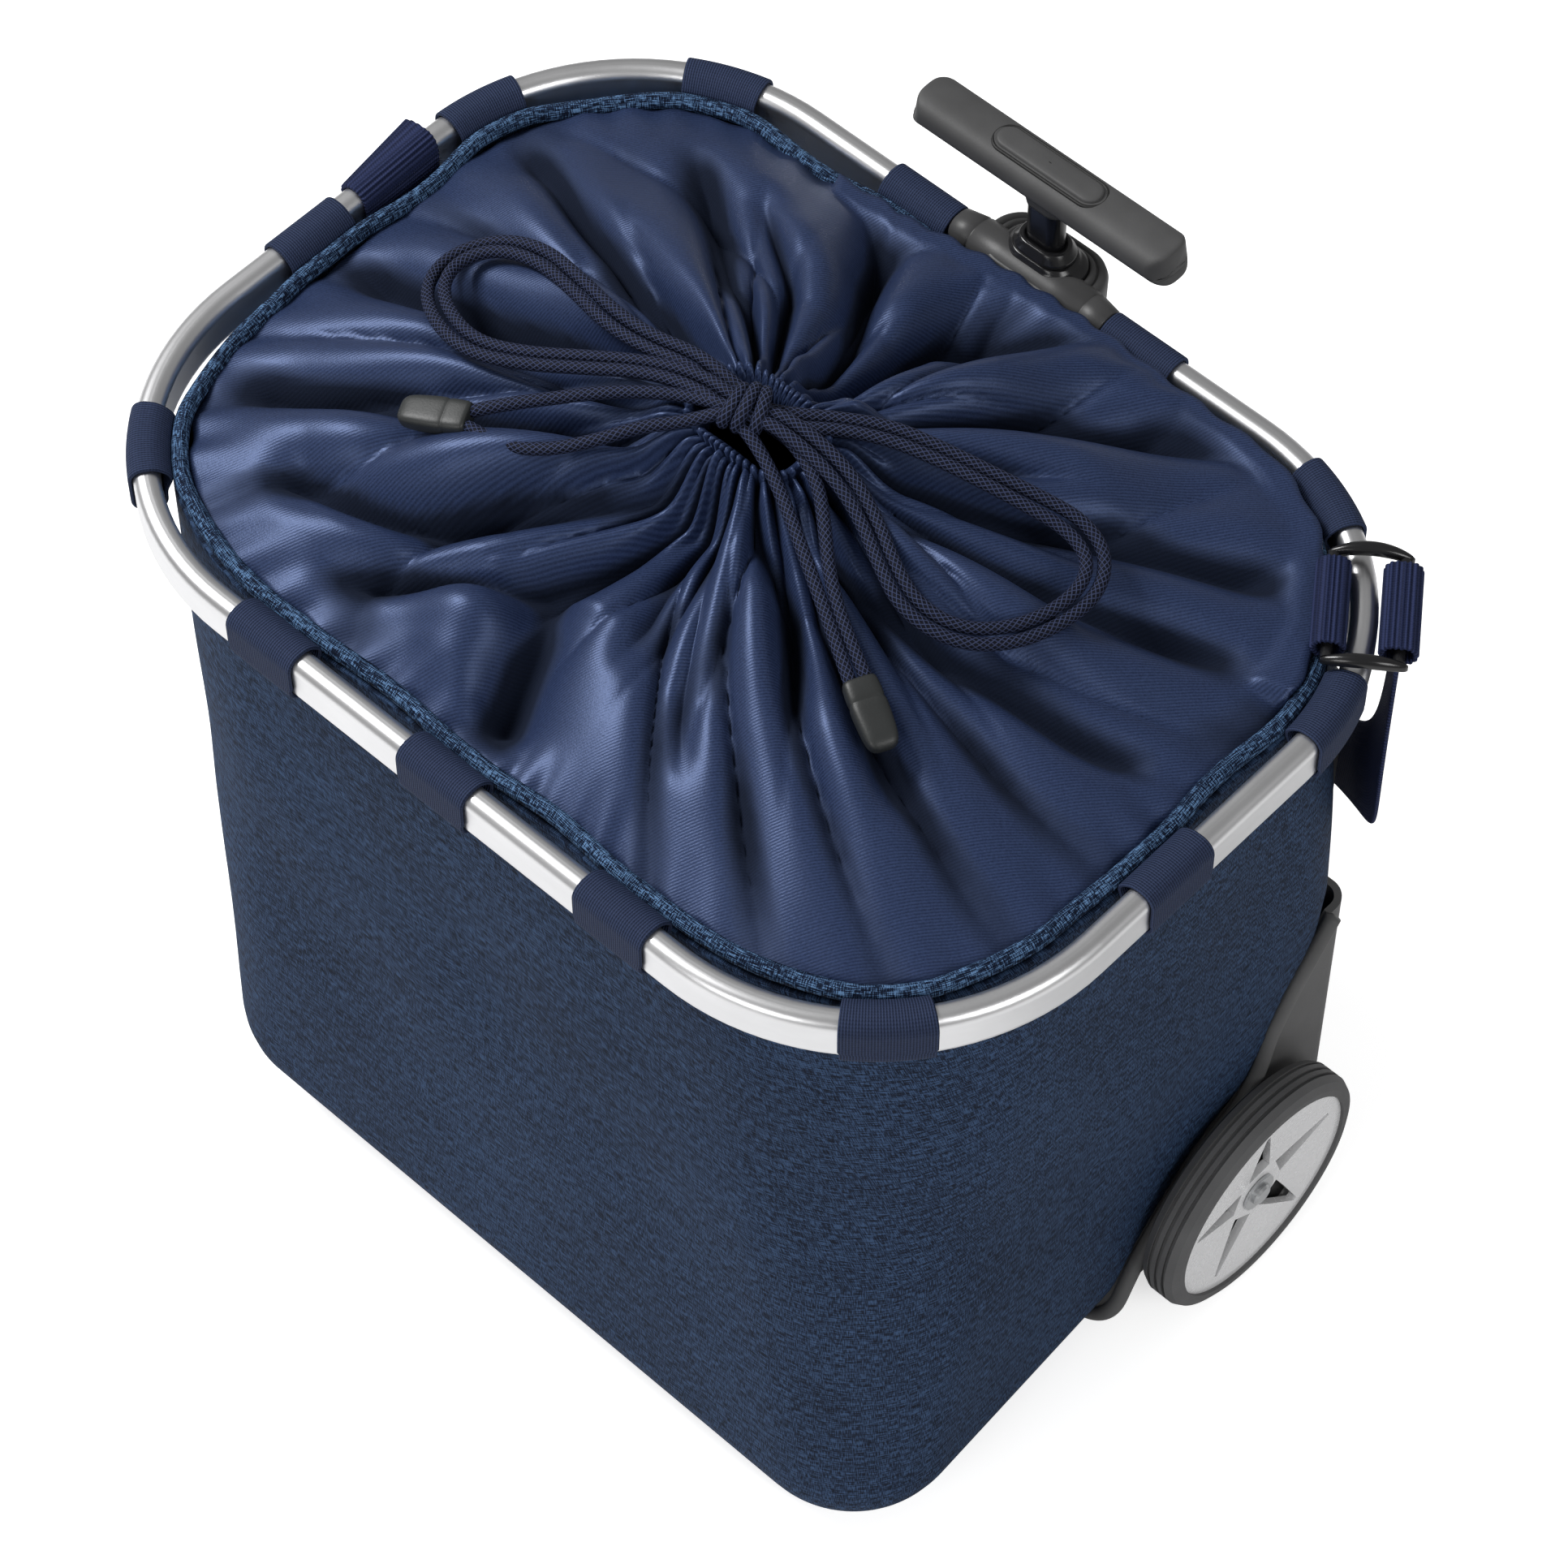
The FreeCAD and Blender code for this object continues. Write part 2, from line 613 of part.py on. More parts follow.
# ---------------------------------------------------------------- cords
def cord_wire(points):
    """Straight runs through the points, joined by arcs that touch them.  Each arc's radius is
    0.45 of its shorter run over the tangent of half the turn."""
    stops = [Vector(*point) for point in points]
    edges = []
    last = stops[0]
    radii = []
    for index in range(1, len(stops) - 1):
        here = stops[index]
        back = stops[index - 1] - here
        ahead = stops[index + 1] - here
        reach = 0.45 * min(back.Length, ahead.Length)
        back.normalize()
        ahead.normalize()
        turned = math.pi - back.getAngle(ahead)
        radius = reach / math.tan(turned / 2)
        radii.append(radius)
        middle = (back + ahead).normalize()
        depth = radius / math.cos(turned / 2) - radius
        start = here + back * reach
        end = here + ahead * reach
        edges.append(Part.LineSegment(last, start).toShape())
        edges.append(Part.Arc(start, here + middle * depth, end).toShape())
        last = end
    edges.append(Part.LineSegment(last, stops[-1]).toShape())
    return Part.Wire(edges), radii


def make_cord(label, points):
    """One strand of draw cord as a plain tube along its route."""
    wire, radii = cord_wire(points)
    radius = cord_d.value / 2
    first = wire.Edges[0]
    ring = Part.Wire(Part.makeCircle(radius, Vector(*points[0]), first.tangentAt(first.FirstParameter)))
    tube = wire.makePipeShell([ring], True, True)
    if tube.ShapeType != "Solid":
        tube = tube.Solids[0]
    wanted = math.pi * radius ** 2 * wire.Length
    if abs(tube.Volume / wanted - 1) > 0.02:
        raise ValueError("%s has the wrong volume" % label)
    print("%s length %.0f mm, radii %s" % (label, wire.Length, [round(r) for r in radii]))
    shape_piece(label, tube, rim_top)


# Routes of the four strands.  Two doubled cords leave the throat's hem, cross in the bow's
# knot, make one bow loop each, come back through the knot and end in a plastic cord end.
# X and Y are from the plan's centre, Z from the top of the rim's tube.
STRAND_LEFT_OUTER = [
    (18.5, 11.5, 36), (7.5, 8.5, 43), (-5, 7, 45), (-19, 7, 46), (-35, 9, 44.5),
    (-53, 6, 41.5), (-72.5, 7, 37.5), (-97.5, 13.5, 31.5), (-121, 19, 25), (-140.5, 14.5, 18.5),
    (-151, -1.5, 14.5), (-145, -19, 16.5), (-127, -31.5, 23), (-105, -37, 29), (-83, -30.5, 34.5),
    (-62.5, -19.5, 39.5), (-44, -8.5, 43), (-26.5, -4, 46), (-11.5, -5, 49), (2.5, -6.5, 48),
    (17, -11, 45), (33, -19, 43), (53, -30, 39.5), (75, -42, 34.5), (93, -52, 30)]
STRAND_LEFT_INNER = [
    (19.5, 6.5, 36), (8.5, 3.5, 43), (-5, 1, 45), (-19, 1, 46), (-35, 3, 44.5),
    (-53, 0, 41.5), (-73.5, 1, 37.5), (-98.5, 8.5, 31), (-121, 13, 24.5), (-137.5, 9, 20),
    (-144.5, -2.5, 17.5), (-139.5, -15.5, 19), (-124, -26, 24), (-105, -31, 29),
    (-85, -25.5, 34.5), (-65.5, -14.5, 39), (-46, -3.5, 42.5), (-27.5, 2, 46), (-11, 1, 49),
    (5, 1.5, 49), (20, 1, 46), (35, -5, 44), (48, -16, 42), (61, -28, 39), (78, -39, 34.5),
    (96, -47, 30)]
STRAND_RIGHT_OUTER = [
    (-21.5, 6, 39), (-12, 5, 44), (-2, 5.5, 45), (9.5, 11.5, 46), (21.5, 21, 45.5),
    (35.5, 31.5, 43.5), (52, 37.5, 41), (69, 43, 37.5), (87, 49.5, 33), (104, 55, 28.5),
    (118.5, 51, 25), (126.5, 37.5, 23), (125.5, 18.5, 23), (119.5, -0.5, 25),
    (106.5, -15.5, 29), (88, -20, 34), (71, -13.5, 38), (56, -5.5, 41), (40.5, -1, 46),
    (24, 0, 50), (8.5, -1, 52), (-8.5, -4.5, 50), (-24, -7, 45), (-38, -15, 43),
    (-51, -25, 40.5), (-64, -37, 37), (-75, -47, 34), (-84, -56, 30.5)]
STRAND_RIGHT_INNER = [
    (-22.5, 0, 39), (-12, -1, 44), (0, 0.5, 45), (12.5, 6.5, 46), (24.5, 17, 45.5),
    (38.5, 26.5, 43.5), (54, 32.5, 41), (71, 38, 37.5), (88.5, 43.5, 33), (103, 47.5, 29),
    (115, 45, 26.5), (121, 35, 25), (120.5, 19.5, 25), (114.5, 2.5, 26.5), (103.5, -10.5, 30),
    (88, -14, 34), (73, -8.5, 37.5), (58, -0.5, 40.5), (41.5, 5, 46), (24, 6, 50),
    (7, 4.5, 52), (-7, -6, 50), (-18, -16, 44), (-29, -27, 42), (-38, -40, 38.5),
    (-49, -52, 35), (-63, -60, 32), (-80, -61, 30)]


def make_cord_end(label, strands):
    """A flat plastic cord end that grips two strands side by side at its mouth."""
    tips = [Vector(*strand[-1]) for strand in strands]
    inward = [Vector(*strand[-1]) - Vector(*strand[-2]) for strand in strands]
    mouth = (tips[0] + tips[1]) / 2
    along = inward[0].normalize() + inward[1].normalize()
    along.normalize()
    across = tips[0] - tips[1]
    across = (across - along * across.dot(along)).normalize()
    over = along.cross(across)
    frame = FreeCAD.Matrix(
        along.x, across.x, over.x, mouth.x, along.y, across.y, over.y, mouth.y,
        along.z, across.z, over.z, mouth.z, 0, 0, 0, 1)
    long = end_long.value
    wide = end_wide.value
    thick = end_thick.value
    block = Part.makeBox(long, wide, thick, Vector(0, -wide / 2, -thick / 2))
    block = block.makeFillet(thick * 0.4, [e for e in block.Edges if e.BoundBox.XMin > long - 0.01])
    block.Placement = FreeCAD.Placement(frame)
    shape_piece(label, block, rim_top)


def make_cords():
    """The doubled cords, the knot of the bow and the two cord ends."""
    make_cord("cord_left_outer", STRAND_LEFT_OUTER)
    make_cord("cord_left_inner", STRAND_LEFT_INNER)
    make_cord("cord_right_outer", STRAND_RIGHT_OUTER)
    make_cord("cord_right_inner", STRAND_RIGHT_INNER)
    make_cord_end("cord_end_right", (STRAND_LEFT_OUTER, STRAND_LEFT_INNER))
    make_cord_end("cord_end_left", (STRAND_RIGHT_OUTER, STRAND_RIGHT_INNER))
    knot = Part.makeSphere(1)
    stretch = FreeCAD.Matrix()
    stretch.scale(knot_x.value, knot_y.value, knot_z.value)
    knot = knot.transformGeometry(stretch)
    knot.translate(Vector(-3, 0.5, 49))
    shape_piece("bow_knot", knot, rim_top)


# ---------------------------------------------------------------- moulded base and feet
def guard_profile(grow=0):
    """Side view of the base in Y and Z, as a prism across the trolley: a guard that rises
    behind the wheel to the back corner and sweeps down round the wheel's front to a low nose."""
    stations = [
        (9, 8), (13, 26), (23, 45), (37, 62), (52, 78), (68, 88), (82, 93), (91, 107), (96, 129),
        (106, 146)]
    front = Part.BSplineCurve()
    front.interpolate([Vector(0, y - grow, z + grow) for y, z in stations])
    top = base_top.value + grow
    low = base_low.value - 2 * grow
    back = base_y.value + 10
    corners = [
        Vector(0, 106 - grow, 146 + grow), Vector(0, 128, top), Vector(0, back, top),
        Vector(0, back, low), Vector(0, 8 - grow, low), Vector(0, 9 - grow, 8 + grow)]
    edges = [front.toShape()]
    for start, end in zip(corners[:-1], corners[1:]):
        edges.append(Part.LineSegment(start, end).toShape())
    face = Part.Face(Part.Wire(edges))
    wide = rim_width.value
    face.translate(Vector(-wide / 2, 0, 0))
    return face.extrude(Vector(wide, 0, 0))


def base_tub(inset):
    """A tub with upright walls and a rounded bottom edge: the base's outside moved in."""
    half = base_x.value - inset
    back = base_y.value - inset
    front = -40 + inset
    radius = max(base_r.value - inset, 1)
    low = base_low.value + inset
    edge = base_edge.value - inset
    wires = [box_wire(half, front, back, radius, rim_top.value / 2)]
    for step in range(4):
        angle = math.pi / 6 * step
        height = low + edge * (1 - math.sin(angle))
        shift = edge * (1 - math.cos(angle))
        wires.append(box_wire(half - shift, front + shift, back - shift, radius, height))
    return Part.makeLoft(wires, True, True)


def make_base():
    """Moulded base: a shell round the bag's lower back, with a boss for each stub axle, a
    socket for the pole and a floor under the bag."""
    wall = guard_wall.value
    low = base_low.value
    inner = base_tub(wall)
    shell = base_tub(0).cut(inner).common(guard_profile())
    boss_start = base_x.value - wall
    boss_end = wheel_x.value - 3
    hub_z = tyre_r.value
    extras = []
    for side in (-1, 1):
        axis = Vector(side, 0, 0)
        start = Vector(side * boss_start, wheel_y.value, hub_z)
        extras.append(Part.makeCylinder(boss_r.value, boss_end - boss_start, start, axis))
    socket_low = base_y.value - 1
    socket_deep = pole_y.value + socket_half.value - 3 - socket_low
    socket_tall = socket_top.value - low
    corner = Vector(-socket_half.value, socket_low, low)
    extras.append(Part.makeBox(2 * socket_half.value, socket_deep, socket_tall, corner))
    body = shell.multiFuse(extras)
    sleeve = stadium_prism(stage_x(2) + 0.1, stage_y(2) + 0.1, rim_top.value)
    sleeve.translate(Vector(0, pole_y.value, outer_foot.value))
    body = body.cut(sleeve)
    for side in (-1, 1):
        axis = Vector(side, 0, 0)
        start = Vector(side * boss_start, wheel_y.value, hub_z)
        body = body.cut(Part.makeCylinder(axle_r.value, boss_end, start, axis))
        body = body.cut(Part.makeCylinder(axle_head_r.value, axle_head.value, start, axis))
    shape_piece("wheel_base", body.removeSplitter())


def make_back_plate():
    """Moulded plate on the bag's back, above the base, with two clips round the pole."""
    plate = piece("PartDesign::Body", "back_plate")
    face_y = bag_top_y + 0.6
    panel = new_sketch(plate, "XZ_Plane", -face_y - plate_thick)
    middle = (plate_top + plate_low) / 2
    draw_rounded(panel, plate_half, (plate_top - plate_low) / 2, plain(14), ZERO, middle)
    pad(plate, panel, plate_thick)
    clip_tall = plain(18)
    for height in (plate_low + 8, plate_top - clip_tall - 8):
        clip = new_sketch(plate, "XY_Plane", height)
        draw_rounded(clip, inner_x + stage_step * 2 + 3, (pole_y - face_y) / 2, plain(2), ZERO,
                     (pole_y + face_y) / 2)
        pad(plate, clip, clip_tall)
    passage = new_sketch(plate, "XY_Plane")
    draw_stadium(passage, inner_x + stage_step * 2 + 0.1, inner_y + stage_step * 2 + 0.1, ZERO, pole_y)
    pocket(plate, passage, plate_top + 1, True)
    place(plate, ZERO, ZERO, ZERO)


def stadium_prism(half_wide, half_thick, tall):
    """An upright prism of stadium section, long along X, standing on Z = 0."""
    straight = half_wide - half_thick
    edges = [
        Part.LineSegment(Vector(-straight, -half_thick, 0), Vector(straight, -half_thick, 0)).toShape(),
        Part.Arc(Vector(straight, -half_thick, 0), Vector(half_wide, 0, 0),
                 Vector(straight, half_thick, 0)).toShape(),
        Part.LineSegment(Vector(straight, half_thick, 0), Vector(-straight, half_thick, 0)).toShape(),
        Part.Arc(Vector(-straight, half_thick, 0), Vector(-half_wide, 0, 0),
                 Vector(-straight, -half_thick, 0)).toShape()]
    return Part.Face(Part.Wire(edges)).extrude(Vector(0, 0, tall))


def stage_x(stage):
    """Half width of a pole tube: 0 inner, 1 middle, 2 outer."""
    return inner_x.value + stage_step.value * stage


def stage_y(stage):
    """Half depth of a pole tube: 0 inner, 1 middle, 2 outer."""
    return inner_y.value + stage_step.value * stage


def make_feet():
    """Two moulded front feet, each held to the bottom board by one screw."""
    for side, name in ((-1, "left"), (1, "right")):
        foot = piece("PartDesign::Body", "front_foot_" + name)
        outline = new_sketch(foot, "XY_Plane")
        draw_circle(outline, foot_r)
        pad(foot, outline, bag_foot_z)
        recess = new_sketch(foot, "XY_Plane")
        draw_circle(recess, screw_head_r + 0.3)
        pocket(foot, recess, screw_sink, True)
        bore = new_sketch(foot, "XY_Plane")
        draw_circle(bore, screw_r)
        pocket(foot, bore, bag_foot_z, True)
        soften(foot, plain(2), edges_at(0, lambda e: e.BoundBox.XLength > 2 * foot_r.value - 1))
        place(foot, foot_x * side, foot_y, ZERO)


def make_screws(label, sites, length):
    """One node of like screws, each a shank with a head; each site is x, y, z and the head's
    side, up (1) or down (-1)."""
    parts = []
    for index, (x, y, z, up) in enumerate(sites):
        shank = doc.addObject("Part::Cylinder", "%s_shank_%d" % (label, index))
        head = doc.addObject("Part::Cylinder", "%s_head_%d" % (label, index))
        bind(shank, "Radius", screw_r)
        bind(shank, "Height", length)
        bind(head, "Radius", screw_head_r)
        bind(head, "Height", screw_head)
        place(shank, x, y, z - (length if up > 0 else ZERO))
        place(head, x, y, z - (ZERO if up > 0 else screw_head))
        whole = doc.addObject("Part::Fuse", "%s_%d" % (label, index))
        whole.Base = shank
        whole.Tool = head
        parts.append(whole)
    group = piece("Part::Compound", label)
    group.Links = parts


# ---------------------------------------------------------------- wheels
def make_wheel(side, name):
    """A dished hub with five tapered slots, and a ribbed tyre on its rim.  Both are turned
    about the axle; local X points out of the trolley."""
    hub = piece("PartDesign::Body", "hub_" + name)
    bore = axle_r + axle_fit
    rim_in = hub_r - 3.8
    profile = new_sketch(hub, "XY_Plane")
    dish = [
        (-2, bore), (5, bore), (5, hub_dish_r), (7.5, hub_r - 3.3), (7.5, hub_r), (-8, hub_r),
        (-8, rim_in), (3.9, rim_in), (1.6, hub_dish_r), (1.6, hub_boss_r), (-2, hub_boss_r)]
    draw_polygon(profile, [(plain(x), r) for x, r in dish])
    turn(hub, profile, "H_Axis")
    slot = new_sketch(hub, "YZ_Plane", plain(1))
    draw_polygon(slot, [
        (-slot_half, slot_start), (slot_half, slot_start), (slot_half * 0.75, slot_start + 10),
        (slot_half * 0.16, slot_end), (-slot_half * 0.16, slot_end), (-slot_half * 0.75, slot_start + 10)])
    cut = pocket(hub, slot, plain(12), True)
    ring = hub.newObject("PartDesign::PolarPattern", "slots_" + name)
    ring.Originals = [cut]
    ring.Axis = (hub.Origin.OriginFeatures[0], [""])
    ring.Angle = 360
    ring.Occurrences = 5
    hub.Tip = ring
    tyre = piece("PartDesign::Body", "tyre_" + name)
    section = new_sketch(tyre, "XY_Plane")
    half = tyre_wide / 2
    draw_polygon(section, [
        (-half, hub_r), (half, hub_r), (half, tyre_r - 4.5), (half - 1.5, tyre_r - 1.5),
        (half - 4.5, tyre_r), (4.5 - half, tyre_r), (1.5 - half, tyre_r - 1.5), (-half, tyre_r - 4.5)])
    turn(tyre, section, "H_Axis")
    for groove_x in (-3.6, 0, 3.6):
        groove = new_sketch(tyre, "XY_Plane")
        middle = plain(groove_x)
        draw_polygon(groove, [
            (middle - 0.8, tyre_r - 1.4), (middle + 0.8, tyre_r - 1.4), (middle + 0.8, tyre_r + 1),
            (middle - 0.8, tyre_r + 1)])
        turn(tyre, groove, "H_Axis", "Groove")
    for body in (hub, tyre):
        body.Placement.Rotation = FreeCAD.Rotation(Vector(0, 0, 1), 0 if side > 0 else 180)
        place(body, wheel_x * side, wheel_y, tyre_r)


def make_axle(side, name):
    """Headed steel stub axle through the base's boss, with a washer and a spring clip."""
    steel = piece("PartDesign::Body", "stub_axle_" + name)
    under_head = base_x - guard_wall + axle_head - wheel_x
    profile = new_sketch(steel, "XY_Plane")
    tip = plain(8.5)
    face = under_head - axle_head + 0.3
    draw_polygon(profile, [
        (face, ZERO), (tip, ZERO), (tip, axle_r - 1), (tip - 1, axle_r), (under_head, axle_r),
        (under_head, axle_head_r - 0.2), (face, axle_head_r - 0.2)])
    turn(steel, profile, "H_Axis")
    washer = piece("PartDesign::Body", "axle_washer_" + name)
    clip = piece("PartDesign::Body", "axle_clip_" + name)
    for body, start, thick, radius in (
            (washer, -2.9, 0.8, hub_boss_r), (clip, 5.3, 1.2, clip_r)):
        ring = new_sketch(body, "YZ_Plane", plain(start))
        draw_circle(ring, radius)
        draw_circle(ring, axle_r)
        pad(body, ring, plain(thick))
    for body in (steel, washer, clip):
        body.Placement.Rotation = FreeCAD.Rotation(Vector(0, 0, 1), 0 if side > 0 else 180)
        place(body, wheel_x * side, wheel_y, tyre_r)


# ---------------------------------------------------------------- collar and pole
def make_collar():
    """Moulded collar: two sleeves that take the rim's ends and a block that the pole runs
    through, with a raised lip round the pole."""
    body = piece("PartDesign::Body", "rim_collar")
    sleeve = new_sketch(body, "YZ_Plane")
    draw_rounded(sleeve, rim_thick / 2 + collar_wall, rim_tall / 2 + collar_wall,
                 rim_round + collar_wall, back_y, -rim_tall / 2)
    pad(body, sleeve, collar_half * 2).SideType = "Symmetric"
    block = new_sketch(body, "XY_Plane", -rim_tall - collar_wall)
    draw_rounded(block, collar_x, collar_y, collar_y - 1, ZERO, pole_y)
    pad(body, block, rim_tall + collar_wall)
    lip = new_sketch(body, "XY_Plane", ZERO)
    draw_stadium(lip, collar_x - 5, collar_y - 4, ZERO, pole_y)
    pad(body, lip, collar_lip)
    for side in (-1, 1):
        bore = new_sketch(body, "YZ_Plane", (rim_gap / 2) * side)
        draw_rounded(bore, rim_thick / 2 + 0.1, rim_tall / 2 + 0.1, rim_round + 0.1, back_y, -rim_tall / 2)
        pocket(body, bore, collar_half, side > 0)
    passage = new_sketch(body, "XY_Plane", plain(-60))
    draw_stadium(passage, inner_x + stage_step * 2 + 0.2, inner_y + stage_step * 2 + 0.2, ZERO, pole_y)
    pocket(body, passage, plain(90), True)
    place(body, ZERO, ZERO, rim_top)


def make_tube(label, stage, foot, top, holes):
    """One pole tube of stadium section, with round latch holes in its back wall at the given
    heights above its own foot."""
    body = piece("PartDesign::Body", label)
    across = inner_x + stage_step * stage
    deep = inner_y + stage_step * stage
    section = new_sketch(body, "XY_Plane")
    draw_stadium(section, across, deep)
    draw_stadium(section, across - tube_wall, deep - tube_wall)
    pad(body, section, top - foot)
    for height in holes:
        hole = new_sketch(body, "XZ_Plane")
        draw_circle(hole, pin_hole, ZERO, height)
        pocket(body, hole, across)
    place(body, ZERO, pole_y, foot)


def make_shoe(label, stage, foot, rod):
    """Plastic shoe at a tube's foot: it fills the tube around it, carries the tube above on a
    spigot, and holds a latch pin in a cross bore."""
    body = piece("PartDesign::Body", label)
    across = inner_x + stage_step * (stage + 1) - tube_wall - shoe_fit
    deep = inner_y + stage_step * (stage + 1) - tube_wall - shoe_fit
    block = new_sketch(body, "XY_Plane")
    draw_stadium(block, across, deep)
    pad(body, block, shoe_tall)
    spigot = new_sketch(body, "XY_Plane", shoe_tall)
    inside = tube_wall + 0.15
    draw_stadium(spigot, inner_x + stage_step * stage - inside, inner_y + stage_step * stage - inside)
    pad(body, spigot, plain(6))
    cross = new_sketch(body, "XZ_Plane")
    draw_circle(cross, pin_r + 0.05, ZERO, shoe_tall / 2)
    pocket(body, cross, deep + 1)
    if rod:
        bore = new_sketch(body, "XY_Plane", shoe_tall + 6)
        draw_circle(bore, rod_r + 0.3)
        pocket(body, bore, plain(14))
    place(body, ZERO, pole_y, foot)
    pin = piece("PartDesign::Body", label.replace("shoe", "latch_pin"))
    round_end = new_sketch(pin, "XZ_Plane")
    draw_circle(round_end, pin_r, ZERO, shoe_tall / 2)
    pad(pin, round_end, deep * 0.9, True)
    bind(pin, "Placement.Base.x", ZERO)
    bind(pin, "Placement.Base.y", plan_y + pole_y + deep * 0.1)
    bind(pin, "Placement.Base.z", foot)


def make_bush(label, stage, height, tall, flare):
    """Flanged guide at a tube's top: it sits on the tube and runs on the tube inside it."""
    body = piece("PartDesign::Body", label)
    base = new_sketch(body, "XY_Plane")
    across = inner_x + stage_step * stage
    deep = inner_y + stage_step * stage
    draw_stadium(base, across + flare, deep + flare)
    draw_stadium(base, across - stage_step + 0.3, deep - stage_step + 0.3)
    pad(body, base, tall)
    level = tall.value
    soften(body, plain(1.4), edges_at(level, lambda e: e.BoundBox.XMax > across.value + 0.01
                                      or e.BoundBox.YMax > deep.value + 0.01
                                      or e.BoundBox.YMin < -deep.value - 0.01
                                      or e.BoundBox.XMin < -across.value - 0.01))
    place(body, ZERO, pole_y, height)


def make_pole():
    """Two-stage pole: an outer tube on the base, a middle tube and an inner tube with shoes."""
    outer_top = rim_top + collar_lip
    bush_tall = plain(2.5)
    middle_top = outer_top + bush_tall + 0.2
    middle_foot = outer_foot + 3
    inner_foot = middle_foot + shoe_tall + 8
    latch_low = shoe_tall / 2
    make_tube("pole_outer_tube", 2, outer_foot, outer_top,
              [latch_low + 3, latch_low + 3 + travel])
    make_tube("pole_middle_tube", 1, middle_foot + shoe_tall, middle_top,
              [latch_low + 8, latch_low + 8 + travel])
    make_shoe("middle_shoe", 1, middle_foot, False)
    make_tube("pole_inner_tube", 0, inner_foot + shoe_tall, grip_top - grip_upper - 2, [])
    make_shoe("inner_shoe", 0, inner_foot, True)
    make_bush("outer_guide_bush", 2, outer_top, bush_tall, plain(1.6))
    make_bush("middle_guide_bush", 1, middle_top, plain(5), plain(1.5))


# ---------------------------------------------------------------- grip
def make_grip():
    """T grip of two shells around the inner tube's head, with a push button in its top."""
    upper = piece("PartDesign::Body", "grip_upper")
    plan = new_sketch(upper, "XY_Plane", -grip_upper)
    draw_rounded(plan, grip_half, grip_deep, plain(8.5))
    pad(upper, plan, grip_upper)
    soften(upper, plain(4), edges_at(0))
    well = new_sketch(upper, "XY_Plane")
    draw_stadium(well, button_half + button_fit, button_deep + button_fit)
    pocket(upper, well, grip_upper - 1.5)
    through = new_sketch(upper, "XY_Plane")
    draw_circle(through, rod_r + 0.4)
    pocket(upper, through, grip_upper)
    place(upper, ZERO, pole_y, grip_top)
    lower = piece("PartDesign::Body", "grip_lower")
    plan = new_sketch(lower, "XY_Plane", -grip_upper)
    draw_rounded(plan, grip_half, grip_deep, plain(8.5))
    pad(lower, plan, grip_lower, True)
    soften(lower, plain(3.5), edges_at(-(grip_upper + grip_lower).value))
    neck = new_sketch(lower, "XY_Plane", -grip_upper - grip_lower + 1)
    draw_stadium(neck, inner_x + 2.4, inner_y + 2.4)
    pad(lower, neck, plain(8), True)
    socket = new_sketch(lower, "XY_Plane", -grip_upper - 2)
    draw_stadium(socket, inner_x + 0.1, inner_y + 0.1)
    pocket(lower, socket, plain(30))
    through = new_sketch(lower, "XY_Plane", -grip_upper)
    draw_circle(through, rod_r + 0.4)
    pocket(lower, through, plain(6))
    for side in (-1, 1):
        recess = new_sketch(lower, "XY_Plane", -grip_upper - grip_lower)
        draw_circle(recess, screw_head_r + 0.2, plain(44) * side, ZERO)
        pocket(lower, recess, screw_head + 0.2, True)
        shank = new_sketch(lower, "XY_Plane", -grip_upper - grip_lower)
        draw_circle(shank, screw_r, plain(44) * side, ZERO)
        pocket(lower, shank, grip_lower, True)
    place(lower, ZERO, pole_y, grip_top)
    button = piece("PartDesign::Body", "release_button")
    cap = new_sketch(button, "XY_Plane", plain(0.8))
    draw_stadium(cap, button_half, button_deep)
    pad(button, cap, plain(4.2), True)
    soften(button, plain(0.6), edges_at(0.8))
    place(button, ZERO, pole_y, grip_top)
    rod = piece("Part::Cylinder", "push_rod")
    rod_top = grip_top - 3.4
    rod_foot = outer_foot + 3 + shoe_tall * 2 + 8 - 3.5
    bind(rod, "Radius", rod_r)
    bind(rod, "Height", rod_top - rod_foot)
    place(rod, ZERO, pole_y, rod_foot)
    make_spring()


def make_spring():
    """Coil spring under the button, round the push rod."""
    wire_r = 0.45
    coil_r = rod_r.value + 0.4 + wire_r + 0.9
    coil = Part.makeHelix(1.4, 3.6, coil_r)
    first = coil.Edges[0]
    start = first.valueAt(first.FirstParameter)
    ring = Part.makeCircle(wire_r, start, first.tangentAt(first.FirstParameter))
    spring = coil.makePipeShell([Part.Wire(ring)], True, True)
    spring.translate(Vector(0, pole_y.value, wire_r + 0.2))
    shape_piece("button_spring", spring, grip_top - grip_upper + 1.5)


# ---------------------------------------------------------------- carry strap
def ribbon(stations, wide, thick):
    """A flat band through the stations.  Each is a point, the direction of the band's width
    and the direction of its thickness."""
    wires = []
    for point, width, depth in stations:
        corners = []
        for side_w, side_t in ((-1, -1), (1, -1), (1, 1), (-1, 1)):
            corners.append(point + width * (side_w * wide / 2) + depth * (side_t * thick / 2))
        wires.append(Part.makePolygon(corners + corners[:1]))
    return Part.makeLoft(wires, True, True)


